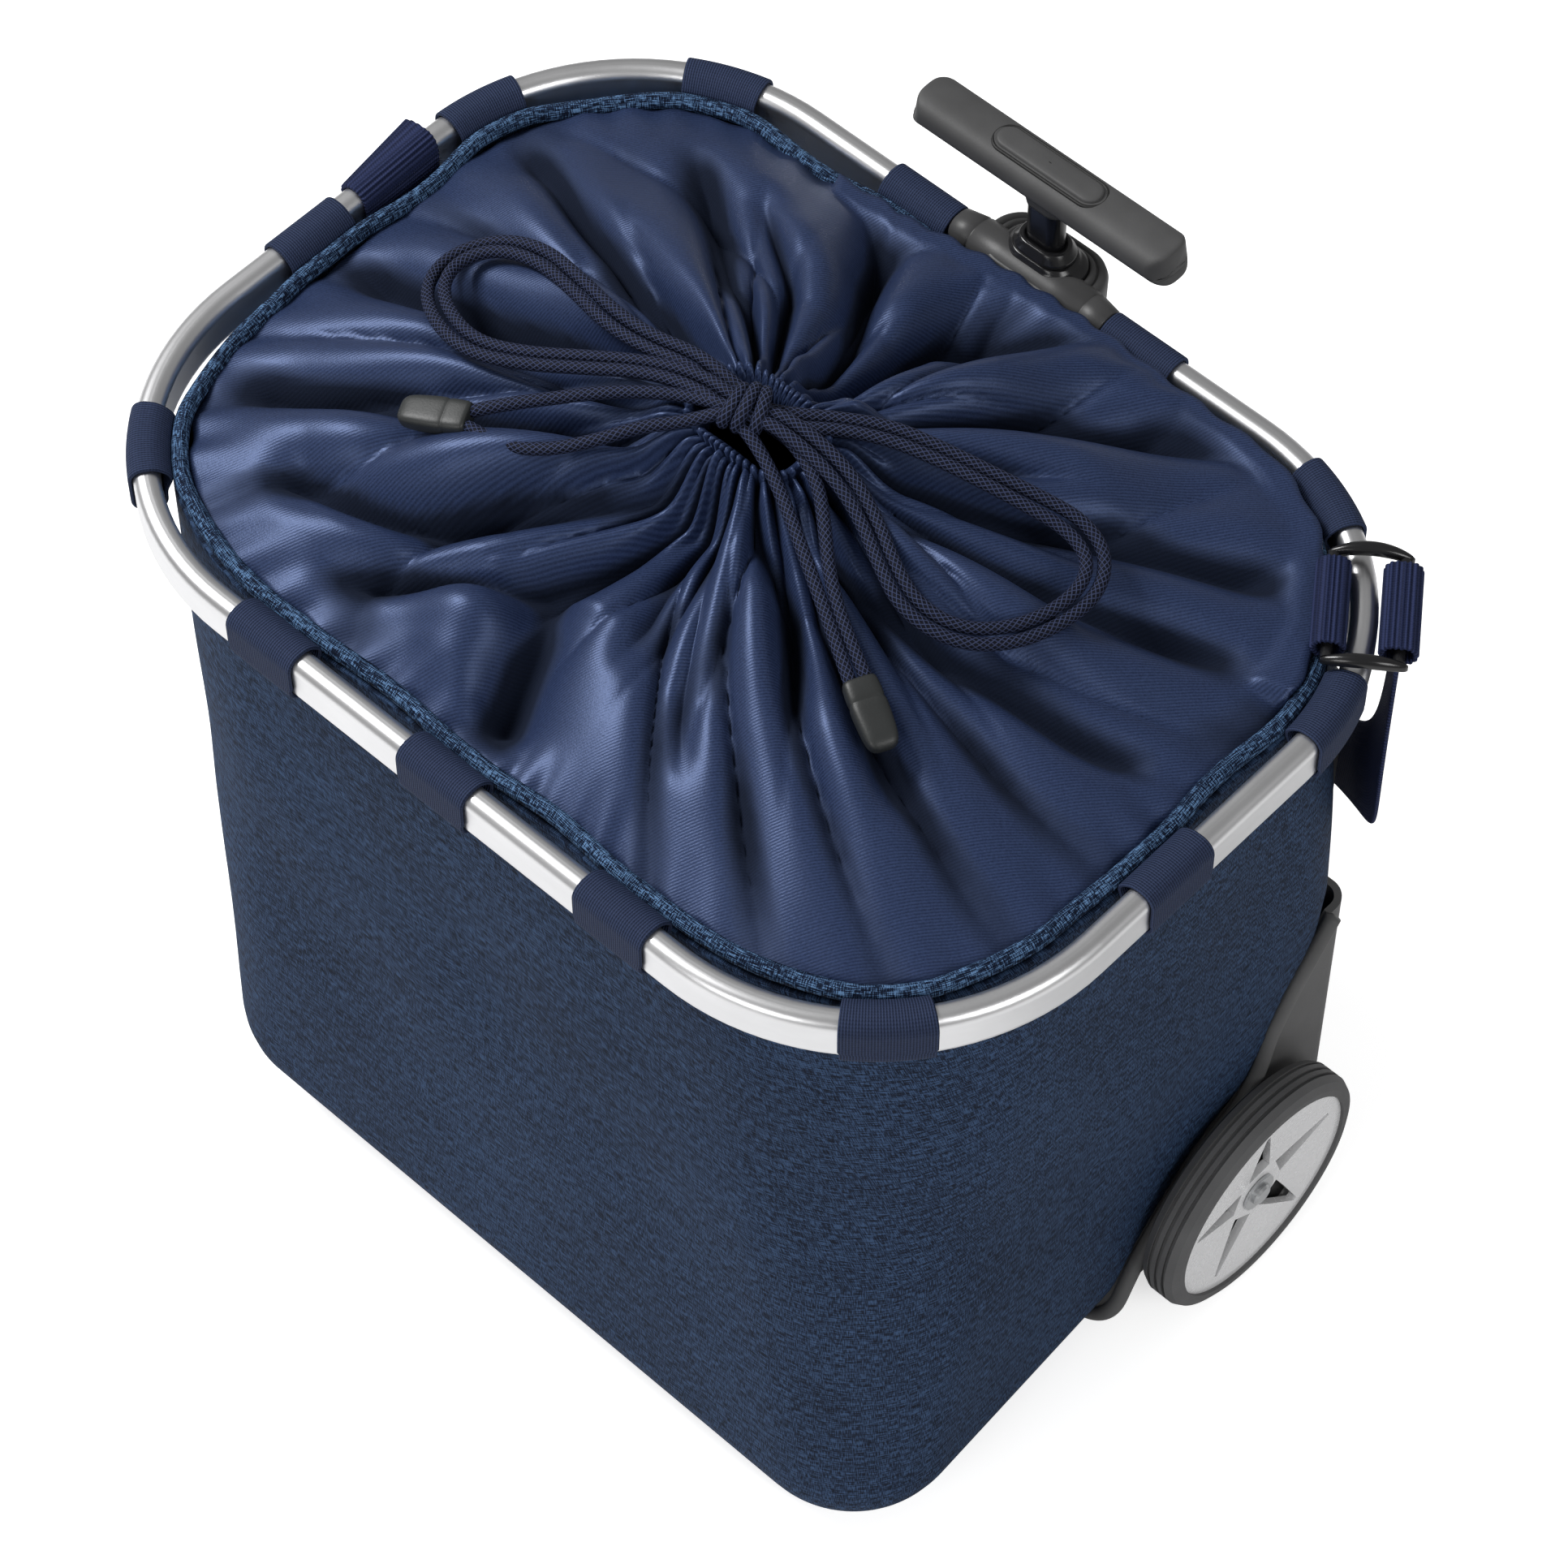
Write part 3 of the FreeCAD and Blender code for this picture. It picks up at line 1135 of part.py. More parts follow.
def wall_point(along, outset):
    """A point outside the rim's centre line and the outward direction there.  along runs on the
    centre line from the middle of the left side, round the back, to the right side."""
    straight_x = half_x.value - mid_r.value
    straight_y = back_y.value - mid_r.value
    radius = mid_r.value + outset
    bend = mid_r.value * math.pi / 2
    if along < straight_y:
        return Vector(-straight_x - radius, along, 0), Vector(-1, 0, 0)
    along -= straight_y
    if along < bend:
        angle = math.pi - along / mid_r.value
        out = Vector(math.cos(angle), math.sin(angle), 0)
        return Vector(-straight_x, straight_y, 0) + out * radius, out
    along -= bend
    if along < 2 * straight_x:
        return Vector(-straight_x + along, straight_y + radius, 0), Vector(0, 1, 0)
    along -= 2 * straight_x
    angle = math.pi / 2 - along / mid_r.value
    out = Vector(math.cos(angle), math.sin(angle), 0)
    return Vector(straight_x, straight_y, 0) + out * radius, out


def make_strap():
    """Webbing carry strap: it hangs from a wrap on the left side of the rim, droops round the
    back outside the pole, and rises to the slider at the right back corner."""
    behind = (pole_y + inner_y + stage_step * 2 - back_y).value + strap_thick.value
    start = strap_left.value
    bend = mid_r.value * math.pi / 2
    last_bend = bend * (1 - slider_angle.value / 90)
    end = (back_y - mid_r).value + bend + 2 * (half_x - mid_r).value + last_bend
    left_top = rim_top.value - rim_tall.value - 2.2
    right_top = rim_top.value - 1.9
    sag = strap_sag.value
    route = []
    count = 30
    for step in range(count + 1):
        share = step / count
        along = start + (end - start) * (share - math.sin(2 * math.pi * share) / (2 * math.pi))
        height = left_top + (right_top - left_top) * share - sag * math.sin(math.pi * share) ** 0.8
        near = strap_near.value if share < 0.5 else slider_bar.value
        outset = near + (behind - near) * math.sin(math.pi * share) ** 4
        point, out = wall_point(along, outset)
        point.z = height
        route.append((point, out))
    stations = []
    for index, (point, out) in enumerate(route):
        before = route[max(index - 1, 0)][0]
        after = route[min(index + 1, count)][0]
        run = (after - before).normalize()
        if index in (0, count):
            run = Vector(0, 0, -1 if index == 0 else 1)
        wide = out.cross(run).normalize()
        stations.append((point, wide, out))
    shape_piece("carry_strap", ribbon(stations, strap_wide.value, strap_thick.value))


def band(half_wide, half_thick, round_r, wide, thick):
    """A closed sleeve of webbing, its hole along Y and centred on the origin."""
    def outline(grow):
        """The sleeve's section, grown outwards."""
        sides = [(half_wide + grow, -half_thick - grow), (half_wide + grow, half_thick + grow),
                 (-half_wide - grow, half_thick + grow), (-half_wide - grow, -half_thick - grow)]
        return Part.Face(rounded_wire(sides, [round_r + grow] * 4, 0))
    ring = outline(thick).cut(outline(0))
    sleeve = ring.extrude(Vector(0, 0, wide))
    sleeve.translate(Vector(0, 0, -wide / 2))
    sleeve.rotate(Vector(0, 0, 0), Vector(1, 0, 0), 90)
    return sleeve


def make_slider():
    """Slider on the rim at the right back corner: two arched end bars and two cross bars, with
    the strap wrapped round each cross bar; and the strap's wrap on the left of the rim."""
    bar = slider_bar.value
    reach = slider_long.value / 2
    cross_r = 2.2
    parts = []
    for side in (-1, 1):
        foot = Vector(side * bar, -reach, 0)
        parts.append(Part.makeCylinder(cross_r, 2 * reach, foot, Vector(0, 1, 0)))
        low = Part.makeBox(2 * bar + 10, 4, 5, Vector(-bar - 5, side * reach - 2, -2.5))
        parts.append(low)
    frame = parts[0].multiFuse(parts[1:])
    angle = slider_angle.value
    middle = Vector((half_x - mid_r).value, (back_y - mid_r).value, rim_top.value + 2.9)
    out = Vector(math.cos(math.radians(angle)), math.sin(math.radians(angle)), 0)
    seat = FreeCAD.Placement(middle + out * mid_r.value, FreeCAD.Rotation(Vector(0, 0, 1), angle))
    frame.Placement = seat
    shape_piece("strap_slider", frame)
    wraps = []
    for side in (-1, 1):
        sleeve = band(cross_r + 0.9, cross_r + 0.9, cross_r + 0.8, strap_wide.value, strap_thick.value)
        sleeve.translate(Vector(side * bar, 0, 0))
        sleeve.Placement = seat.multiply(sleeve.Placement)
        wraps.append(sleeve)
    sleeve = band(rim_thick.value / 2 + 0.3, rim_tall.value / 2 + 0.3, rim_round.value + 0.3,
                  strap_wide.value, strap_thick.value)
    sleeve.translate(Vector(-half_x.value, strap_left.value, (rim_top - rim_tall / 2).value))
    wraps.append(sleeve)
    shape_piece("strap_wraps", Part.makeCompound(wraps))


# ---------------------------------------------------------------- the whole trolley
def build():
    """Make every sub-part, in the order it is put together."""
    make_rim()
    make_collar()
    make_loops()
    make_bag()
    make_cover()
    make_cords()
    make_base()
    make_back_plate()
    make_feet()
    board_top = bag_foot_z + bag_wall + board_thick
    make_screws("foot_screws", [
        (foot_x * side, foot_y, screw_sink - 0.2, -1) for side in (-1, 1)], board_top - screw_sink - 1)
    for side, name in ((-1, "left"), (1, "right")):
        make_wheel(side, name)
        make_axle(side, name)
    make_pole()
    make_grip()
    make_screws("grip_screws", [
        (plain(44) * side, pole_y, grip_top - grip_upper - grip_lower + screw_head, -1)
        for side in (-1, 1)], grip_lower - screw_head + 5)
    make_strap()
    make_slider()


def check_and_write():
    """Refuse any failed object or bad shape, then write one file for each sub-part."""
    doc.recompute()
    for thing in doc.Objects:
        if "Invalid" in thing.State or "Error" in thing.State:
            raise ValueError("%s failed to build" % thing.Label)
    for made in pieces:
        if made.Shape.isNull() or not made.Shape.isValid():
            raise ValueError("%s has a bad shape" % made.Label)
        if not made.Shape.Solids:
            raise ValueError("%s holds no solid" % made.Label)
    os.makedirs("parts", exist_ok=True)
    for made in pieces:
        made.Shape.exportStep(os.path.join("parts", made.Label + ".step"))
    print("%d sub-parts written" % len(pieces))


build()
check_and_write()
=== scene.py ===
import math

import bmesh
import bpy
import numpy as np
from mathutils import Matrix, Vector


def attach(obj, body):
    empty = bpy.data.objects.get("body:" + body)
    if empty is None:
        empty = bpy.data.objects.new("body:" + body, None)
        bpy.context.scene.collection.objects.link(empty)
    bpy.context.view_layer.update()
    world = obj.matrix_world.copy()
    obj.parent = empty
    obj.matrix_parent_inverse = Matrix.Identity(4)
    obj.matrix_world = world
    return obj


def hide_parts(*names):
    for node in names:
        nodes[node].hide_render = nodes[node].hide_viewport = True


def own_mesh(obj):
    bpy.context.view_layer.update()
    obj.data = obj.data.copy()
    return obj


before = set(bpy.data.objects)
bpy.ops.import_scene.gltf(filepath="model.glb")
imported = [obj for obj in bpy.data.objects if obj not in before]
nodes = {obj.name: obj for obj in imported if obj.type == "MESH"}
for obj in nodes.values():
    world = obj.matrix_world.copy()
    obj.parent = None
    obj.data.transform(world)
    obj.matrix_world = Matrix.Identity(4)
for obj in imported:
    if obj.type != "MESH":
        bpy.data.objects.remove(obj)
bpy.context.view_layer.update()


# ------------------------------------------------------------------ camera, light and floor
# The trolley stands on a white sheet in plain studio light: a strong lamp high on the left,
# weak ones on the right and in front, and a white world.
WORLD_LIGHT = 0.38
WORLD_MIRRORED = 0.65
FLOOR_HALF = 9
FLOOR_GLOW = 0.62
view = bpy.data.objects.new("view", bpy.data.cameras.new("view"))
bpy.context.scene.collection.objects.link(view)
view.data.lens = 119.47
view.data.sensor_width = 36
view.matrix_world = (
    Matrix.Translation((0.784992, -0.824727, 1.836736))
    @ Matrix.Rotation(math.radians(43.20), 4, "Z")
    @ Matrix.Rotation(math.radians(35.12), 4, "X")
    @ Matrix.Rotation(math.radians(-0.281), 4, "Z"))
bpy.context.scene.camera = view
bpy.context.scene.view_settings.view_transform = "Standard"


def studio_lamp(name, place, aim, size, power):
    """A square area lamp at a place, turned to a point."""
    lamp = bpy.data.objects.new(name, bpy.data.lights.new(name, "AREA"))
    bpy.context.scene.collection.objects.link(lamp)
    lamp.data.size = size
    lamp.data.energy = power
    lamp.location = place
    lamp.rotation_euler = (Vector(aim) - Vector(place)).to_track_quat("-Z", "Y").to_euler()


studio_lamp("lamp_left", (-1.3, -0.5, 1.9), (0, 0, 0.25), 0.8, 42)
studio_lamp("lamp_right", (1.8, -0.2, 1.5), (0, 0, 0.2), 0.8, 12)
studio_lamp("lamp_front", (0.3, -2.2, 1.3), (0, 0, 0.2), 0.9, 11)

def fill(node, *ordered, **named):
    """Fill a node's sockets: ordered values go into them in turn, and names with a capital letter
    into the socket of that name.  A value is a number, a colour or another node's output."""
    pairs = list(zip(node.inputs, ordered))
    pairs += [(node.inputs[name.replace("_", " ")], value) for name, value in named.items()
              if name[0].isupper()]
    for socket, value in pairs:
        if isinstance(value, bpy.types.NodeSocket):
            node.id_data.links.new(value, socket)
        else:
            socket.default_value = value


def add(tree, kind, *ordered, **named):
    """A shader node with its sockets filled; names with a small letter are its settings."""
    node = tree.nodes.new("ShaderNode" + kind)
    for name, value in named.items():
        if name[0].islower():
            setattr(node, name, value)
    fill(node, *ordered, **named)
    return node


def reckon(tree, operation, *values):
    """The output of a Math node."""
    return add(tree, "Math", *values, operation=operation).outputs[0]


world = bpy.data.worlds.new("studio")
bpy.context.scene.world = world
world.use_nodes = True
tree = world.node_tree
rays = add(tree, "LightPath")
brightness = add(tree, "MapRange", Value=rays.outputs["Is Camera Ray"], To_Min=WORLD_LIGHT, To_Max=1.0)
mirrored = add(tree, "MapRange", Value=rays.outputs["Is Glossy Ray"], To_Min=1.0,
               To_Max=WORLD_MIRRORED)
strength = reckon(tree, "MULTIPLY", brightness.outputs["Result"], mirrored.outputs["Result"])
fill(tree.nodes["Background"], Color=(1, 1, 1, 1), Strength=strength)


def paint(name, colour, roughness, metallic=0.0, specular=0.5):
    """A material with a Principled shader and its fixed values; returns it with its nodes."""
    material = bpy.data.materials.new(name)
    material.use_nodes = True
    tree = material.node_tree
    shader = tree.nodes["Principled BSDF"]
    fill(shader, Base_Color=(*colour, 1), Roughness=roughness, Metallic=metallic,
         Specular_IOR_Level=specular)
    return material, tree, shader


floor_mesh = bpy.data.meshes.new("floor")
floor_mesh.from_pydata(
    [(-FLOOR_HALF, -FLOOR_HALF, 0), (FLOOR_HALF, -FLOOR_HALF, 0), (FLOOR_HALF, FLOOR_HALF, 0),
     (-FLOOR_HALF, FLOOR_HALF, 0)], [], [(0, 1, 2, 3)])
floor = bpy.data.objects.new("floor", floor_mesh)
bpy.context.scene.collection.objects.link(floor)
floor_white, tree, shader = paint("floor_white", (0.86, 0.86, 0.86), 0.9)
rays = add(tree, "LightPath")
glow = add(tree, "MapRange", Value=rays.outputs["Is Camera Ray"], To_Min=0.0, To_Max=FLOOR_GLOW)
fill(shader, Emission_Color=(1, 1, 1, 1), Emission_Strength=glow.outputs["Result"])
floor_mesh.materials.append(floor_white)


# ------------------------------------------------------------------ rim
# Flat-oval aluminium tube, bent to an oval and anodised satin.  The drawing and bending leave
# faint lengthwise streaks under the finish.
MM = 0.001
PLAN_Y = -2.95
RIM_TOP = 394.0
RIM_X = 208.0
RIM_BACK = 148.5
RIM_FRONT = -156.1
BEND = 99.0
TUBE_A = 5.0
TUBE_B = 10.0
TUBE_ROUND = 4.4


def dress(material, *names):
    """Give CAD nodes a material."""
    for name in names:
        nodes[name].data.materials.clear()
        nodes[name].data.materials.append(material)


def grain_group():
    """Fine moulded or brushed grain: two noises on object coordinates, stretched by Stretch.
    Height is the sum of a fine and a coarse one; Shade is the coarse one."""
    group = bpy.data.node_groups.new("grain", "ShaderNodeTree")
    socket = group.interface.new_socket
    socket("Scale", in_out="INPUT", socket_type="NodeSocketFloat").default_value = 900
    socket("Stretch", in_out="INPUT", socket_type="NodeSocketVector").default_value = (1, 1, 1)
    socket("Height", in_out="OUTPUT", socket_type="NodeSocketFloat")
    socket("Shade", in_out="OUTPUT", socket_type="NodeSocketFloat")
    source = group.nodes.new("NodeGroupInput")
    sink = group.nodes.new("NodeGroupOutput")
    place = add(group, "TexCoord")
    stretch = add(group, "VectorMath", place.outputs["Object"], source.outputs["Stretch"],
                  operation="MULTIPLY").outputs[0]
    fine = add(group, "TexNoise", Vector=stretch, Scale=source.outputs["Scale"], Detail=3.0,
               Roughness=0.6)
    coarse = add(group, "TexNoise", Vector=stretch, Scale=35.0, Detail=4.0, Roughness=0.55)
    total = reckon(group, "MULTIPLY_ADD", coarse.outputs["Fac"], 0.3, fine.outputs["Fac"])
    fill(sink, Height=total, Shade=coarse.outputs["Fac"])
    return group


GRAIN = grain_group()


def grained(name, colour, roughness, scale=900.0, stretch=(1, 1, 1), bump=0.00005, vary=0.12,
            metallic=0.0, specular=0.5):
    """A material whose colour and roughness drift a little and whose surface has a fine grain."""
    material, tree, shader = paint(name, colour, roughness, metallic, specular)
    grain = add(tree, "Group", node_tree=GRAIN, Scale=scale, Stretch=stretch)
    tones = add(tree, "ValToRGB", Fac=grain.outputs["Shade"])
    for stop, position, tone in ((0, 0.3, 1 - vary), (1, 0.7, 1 + vary)):
        tones.color_ramp.elements[stop].position = position
        tones.color_ramp.elements[stop].color = (*[min(c * tone, 1) for c in colour], 1)
    rough = add(tree, "MapRange", Value=grain.outputs["Height"], To_Min=roughness * 0.88,
                To_Max=min(roughness * 1.12, 1))
    relief = add(tree, "Bump", Height=grain.outputs["Height"], Strength=1.0, Distance=bump)
    fill(shader, Base_Color=tones.outputs["Color"], Roughness=rough.outputs["Result"],
         Normal=relief.outputs["Normal"])
    return material


satin_aluminium = grained("satin_aluminium", (0.80, 0.80, 0.81), 0.34, 1500.0, (1, 1, 3),
                          0.000004, 0.03, 1.0)
dress(satin_aluminium, "rim_tube")


# ------------------------------------------------------------------ webbing loops
# Thirteen loops of navy ribbed webbing.  Each goes round the tube with its ribs, and its inner
# side reaches in to the bag's corded edge, where it is sewn.
LOOP_WIDE = 32.0
WEB_THICK = 1.4
STITCH_LONG = 0.0011


def skin(name, points, body, closed=(False, False), uv=None, flip=False, weld=False):
    """A smooth skin over a grid of points [row][column] in millimetres, Y from the plan's
    centre and Z from the floor.  closed joins the last row or column to the first."""
    index = np.arange(points.shape[0] * points.shape[1]).reshape(points.shape[:2])
    if closed[0]:
        index = np.vstack([index, index[:1]])
    if closed[1]:
        index = np.hstack([index, index[:, :1]])
    quads = np.stack([index[:-1, :-1], index[:-1, 1:], index[1:, 1:], index[1:, :-1]], -1)
    quads = quads.reshape(-1, 4)
    if flip:
        quads = quads[:, ::-1]
    mesh = bpy.data.meshes.new(name)
    placed = (points + np.array([0, PLAN_Y, 0])) * MM
    mesh.from_pydata(placed.reshape(-1, 3).tolist(), [], quads.tolist())
    if uv is not None:
        corners = np.stack([uv[:-1, :-1], uv[:-1, 1:], uv[1:, 1:], uv[1:, :-1]], 2)
        corners = corners.reshape(-1, 4, 2)
        if flip:
            corners = corners[:, ::-1]
        mesh.uv_layers.new(name="UVMap").data.foreach_set("uv", corners.ravel().astype(float))
    if weld:
        net = bmesh.new()
        net.from_mesh(mesh)
        bmesh.ops.remove_doubles(net, verts=net.verts, dist=1e-6)
        bmesh.ops.recalc_face_normals(net, faces=net.faces)
        net.to_mesh(mesh)
        net.free()
    mesh.polygons.foreach_set("use_smooth", np.ones(len(mesh.polygons), bool))
    mesh.update()
    piece = bpy.data.objects.new(name, mesh)
    bpy.context.scene.collection.objects.link(piece)
    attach(piece, body)
    return piece


def rounded_ring(corners, radii, count):
    """Points and outward normals, evenly spaced by length, on a closed counterclockwise line
    through the corners, each rounded by an arc that touches both sides."""
    corners = np.asarray(corners, float)
    radii = np.asarray(radii, float)[:, None]
    back = np.roll(corners, 1, 0) - corners
    ahead = np.roll(corners, -1, 0) - corners
    back /= np.linalg.norm(back, axis=1)[:, None]
    ahead /= np.linalg.norm(ahead, axis=1)[:, None]
    half = np.arccos((back * ahead).sum(1))[:, None] / 2
    middle = back + ahead
    middle /= np.linalg.norm(middle, axis=1)[:, None]
    centre = corners + middle * radii / np.sin(half)
    turn = np.linspace(-1, 1, 25)[None, :] * (math.pi / 2 - half)
    facing = np.arctan2(-middle[:, 1:], -middle[:, :1]) + turn
    normals = np.stack([np.cos(facing), np.sin(facing)], -1)
    points = centre[:, None, :] + normals * radii[:, :, None]
    points = points.reshape(-1, 2)
    normals = normals.reshape(-1, 2)
    points = np.vstack([points, points[:1]])
    normals = np.vstack([normals, normals[:1]])
    steps = np.linalg.norm(np.diff(points, axis=0), axis=1)
    along = np.concatenate([[0], np.cumsum(steps)])
    wanted = np.linspace(0, along[-1], count, endpoint=False)
    ring = np.stack([np.interp(wanted, along, points[:, k]) for k in (0, 1)], -1)
    facing = np.stack([np.interp(wanted, along, normals[:, k]) for k in (0, 1)], -1)
    facing /= np.linalg.norm(facing, axis=1)[:, None]
    return ring, facing, along[-1]


def box_ring(half_a, half_b, radius, count):
    """A rounded rectangle about the origin as points, normals and length."""
    corners = [(half_a, half_b), (-half_a, half_b), (-half_a, -half_b), (half_a, -half_b)]
    return rounded_ring(corners, [radius] * 4, count)


def webbing_band(ring, facing, wide, thick):
    """A closed band: at each point of the ring, a flattened oval across the band, thick along
    the ring's normal and wide along w.  Returns r, w and z for [across][round] and a UV in
    metres, u round the ring and v across the band."""
    half = wide / 2
    cap = thick / 2
    turn = np.linspace(math.pi / 2, -math.pi / 2, 7)
    side_w = np.concatenate([
        np.linspace(-half + cap, half - cap, 24), half - cap + cap * np.cos(turn)[1:-1],
        np.linspace(half - cap, -half + cap, 24), -half + cap - cap * np.cos(turn)[1:-1]])
    side_t = np.concatenate([
        np.full(24, cap), cap * np.sin(turn)[1:-1], np.full(24, -cap), -cap * np.sin(turn)[1:-1]])
    out = ring[None] + facing[None] * side_t[:, None, None]
    steps = np.linalg.norm(np.diff(np.vstack([ring, ring[:1]]), axis=0), axis=1)
    round_u = np.concatenate([[0], np.cumsum(steps)])
    rows = np.concatenate([side_w, side_w[:1]])
    uv = np.stack(np.meshgrid(round_u, rows), -1) * MM
    return out[..., 0], np.broadcast_to(side_w[:, None], out.shape[:2]), out[..., 1], uv


def webbing_loop(name, centre, angle, bent):
    """One loop round the tube, facing outwards at an angle in degrees.  On a bend it turns about
    the bend's centre, on a straight it is centred on the tube."""
    ring, facing, _ = box_ring(TUBE_A + 1.05, TUBE_B + 1.05, TUBE_ROUND + 0.9, 88)
    inner = np.exp(-((ring[:, 1] - 4.5) / 4.5) ** 2) * (ring[:, 0] < 0)
    ring = ring - np.stack([2.6 * inner, 0 * inner], -1)
    r, w, z, uv = webbing_band(ring, facing, LOOP_WIDE, WEB_THICK)
    w = w * (1 - 0.035 * (z < -4) * (r > 0))
    facing_at = math.radians(angle)
    if bent:
        turned = facing_at + w / BEND
        x = centre[0] + (BEND + r) * np.cos(turned)
        y = centre[1] + (BEND + r) * np.sin(turned)
    else:
        x = centre[0] + r * math.cos(facing_at) - w * math.sin(facing_at)
        y = centre[1] + r * math.sin(facing_at) + w * math.cos(facing_at)
    points = np.stack([x, y, z + RIM_TOP - TUBE_B], -1)
    return skin(name, points, "trolley", (True, True), uv, weld=True)


def webbing_material(name, pitch, colour, light, depth):
    """Webbing: ribs that run along u, pitch metres apart, each broken into slanted stitches,
    with a paler thread on the ribs' tops."""
    material, tree, shader = paint(name, colour, 0.72, specular=0.12)
    place = add(tree, "UVMap", uv_map="UVMap")
    parts = add(tree, "SeparateXYZ", place.outputs["UV"])
    rib = reckon(tree, "MULTIPLY", parts.outputs["Y"], 2 * math.pi / pitch)
    rib_wave = reckon(tree, "SINE", rib)
    slant = reckon(tree, "MULTIPLY_ADD", parts.outputs["X"], 2 * math.pi / STITCH_LONG, rib_wave)
    stitch = reckon(tree, "SINE", slant)
    total = reckon(tree, "MULTIPLY_ADD", stitch, 0.35, rib_wave)
    where = add(tree, "TexCoord")
    noise = add(tree, "TexNoise", Vector=where.outputs["Object"], Scale=700.0, Detail=2.0)
    fuzz = reckon(tree, "MULTIPLY_ADD", noise.outputs["Fac"], 0.9, total)
    tones = add(tree, "MapRange", Value=fuzz, From_Min=-1.0, From_Max=1.9)
    mix = add(tree, "Mix", data_type="RGBA", Factor=tones.outputs["Result"], A=(*colour, 1),
              B=(*light, 1))
    relief = add(tree, "Bump", Height=tones.outputs["Result"], Strength=1.0, Distance=depth)
    fill(shader, Base_Color=mix.outputs["Result"], Normal=relief.outputs["Normal"])
    return material


navy_webbing = webbing_material(
    "navy_webbing", 0.0010, (0.007, 0.011, 0.026), (0.034, 0.049, 0.104), 0.00030)
front_bend = RIM_FRONT + BEND
back_bend = RIM_BACK - BEND
straight_x = RIM_X - BEND
LOOPS = [
    ("loop_front_middle", (0, RIM_FRONT), -90, False),
    ("loop_front_left", (-84, RIM_FRONT), -90, False),
    ("loop_front_right", (84, RIM_FRONT), -90, False),
    ("loop_back_left", (-53, RIM_BACK), 90, False),
    ("loop_back_right", (53, RIM_BACK), 90, False),
    ("loop_side_left", (-RIM_X, -18.5), 180, False),
    ("loop_side_right", (RIM_X, -18.5), 0, False),
    ("loop_front_corner_left", (-straight_x, front_bend), -135, True),
    ("loop_front_corner_right", (straight_x, front_bend), -45, True),
    ("loop_side_corner_left", (-straight_x, back_bend), 168.5, True),
    ("loop_side_corner_right", (straight_x, back_bend), 11.5, True),
    ("loop_back_corner_left", (-straight_x, back_bend), 112.5, True),
    ("loop_back_corner_right", (straight_x, back_bend), 67.5, True)]
for node, centre, angle, bent in LOOPS:
    loop = webbing_loop(node + "_webbing", centre, angle, bent)
    loop.data.materials.append(navy_webbing)
    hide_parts(node)


# ------------------------------------------------------------------ bag
# Padded bag of heathered navy melange on its lining.  It hangs from the loops, runs down to a
# narrower stiffened bottom with rounded edges, and stands inside the moulded base at the back.
BAG_TOP = 385.3
KNEE = 44.0
BAG_FOOT = 10.2
sewn_at = np.array([
    (x + BEND * math.cos(math.radians(a)), y + BEND * math.sin(math.radians(a))) if bent else (x, y)
    for _, (x, y), a, bent in LOOPS])


def between_loops(ring):
    """0 beside a loop and 1 half way to the next, from each point's distance to the nearest."""
    apart = np.linalg.norm(ring[:, None] - sewn_at[None], axis=2).min(1)
    return 1 - np.exp(-(np.maximum(apart - 14, 0) / 17) ** 2)


def bag_ring(height, inset, count):
    """The bag's outline at a height: an even taper from the rim to the bottom's trapezium, with
    back corners that stay tight up to the waist."""
    share = (max(height, KNEE) - KNEE) / (BAG_TOP - KNEE)
    front_x = 187 + 12 * share - inset
    back_x = 173.5 + 25.5 * share - inset
    front_y = -142 - 5 * share + inset
    back_y = 136 + 3.5 * share - inset
    front_r = 46 + 44 * share - inset
    if height < 200:
        back_r = 24 + 6 * (max(height, KNEE) - KNEE) / (200 - KNEE)
    else:
        back_r = 30 + 60 * (height - 200) / (BAG_TOP - 200)
    back_r = max(back_r - inset, 1.5)
    corners = [(back_x, back_y), (-back_x, back_y), (-front_x, front_y), (front_x, front_y)]
    return rounded_ring(corners, [back_r, back_r, max(front_r, 1.5), max(front_r, 1.5)], count)


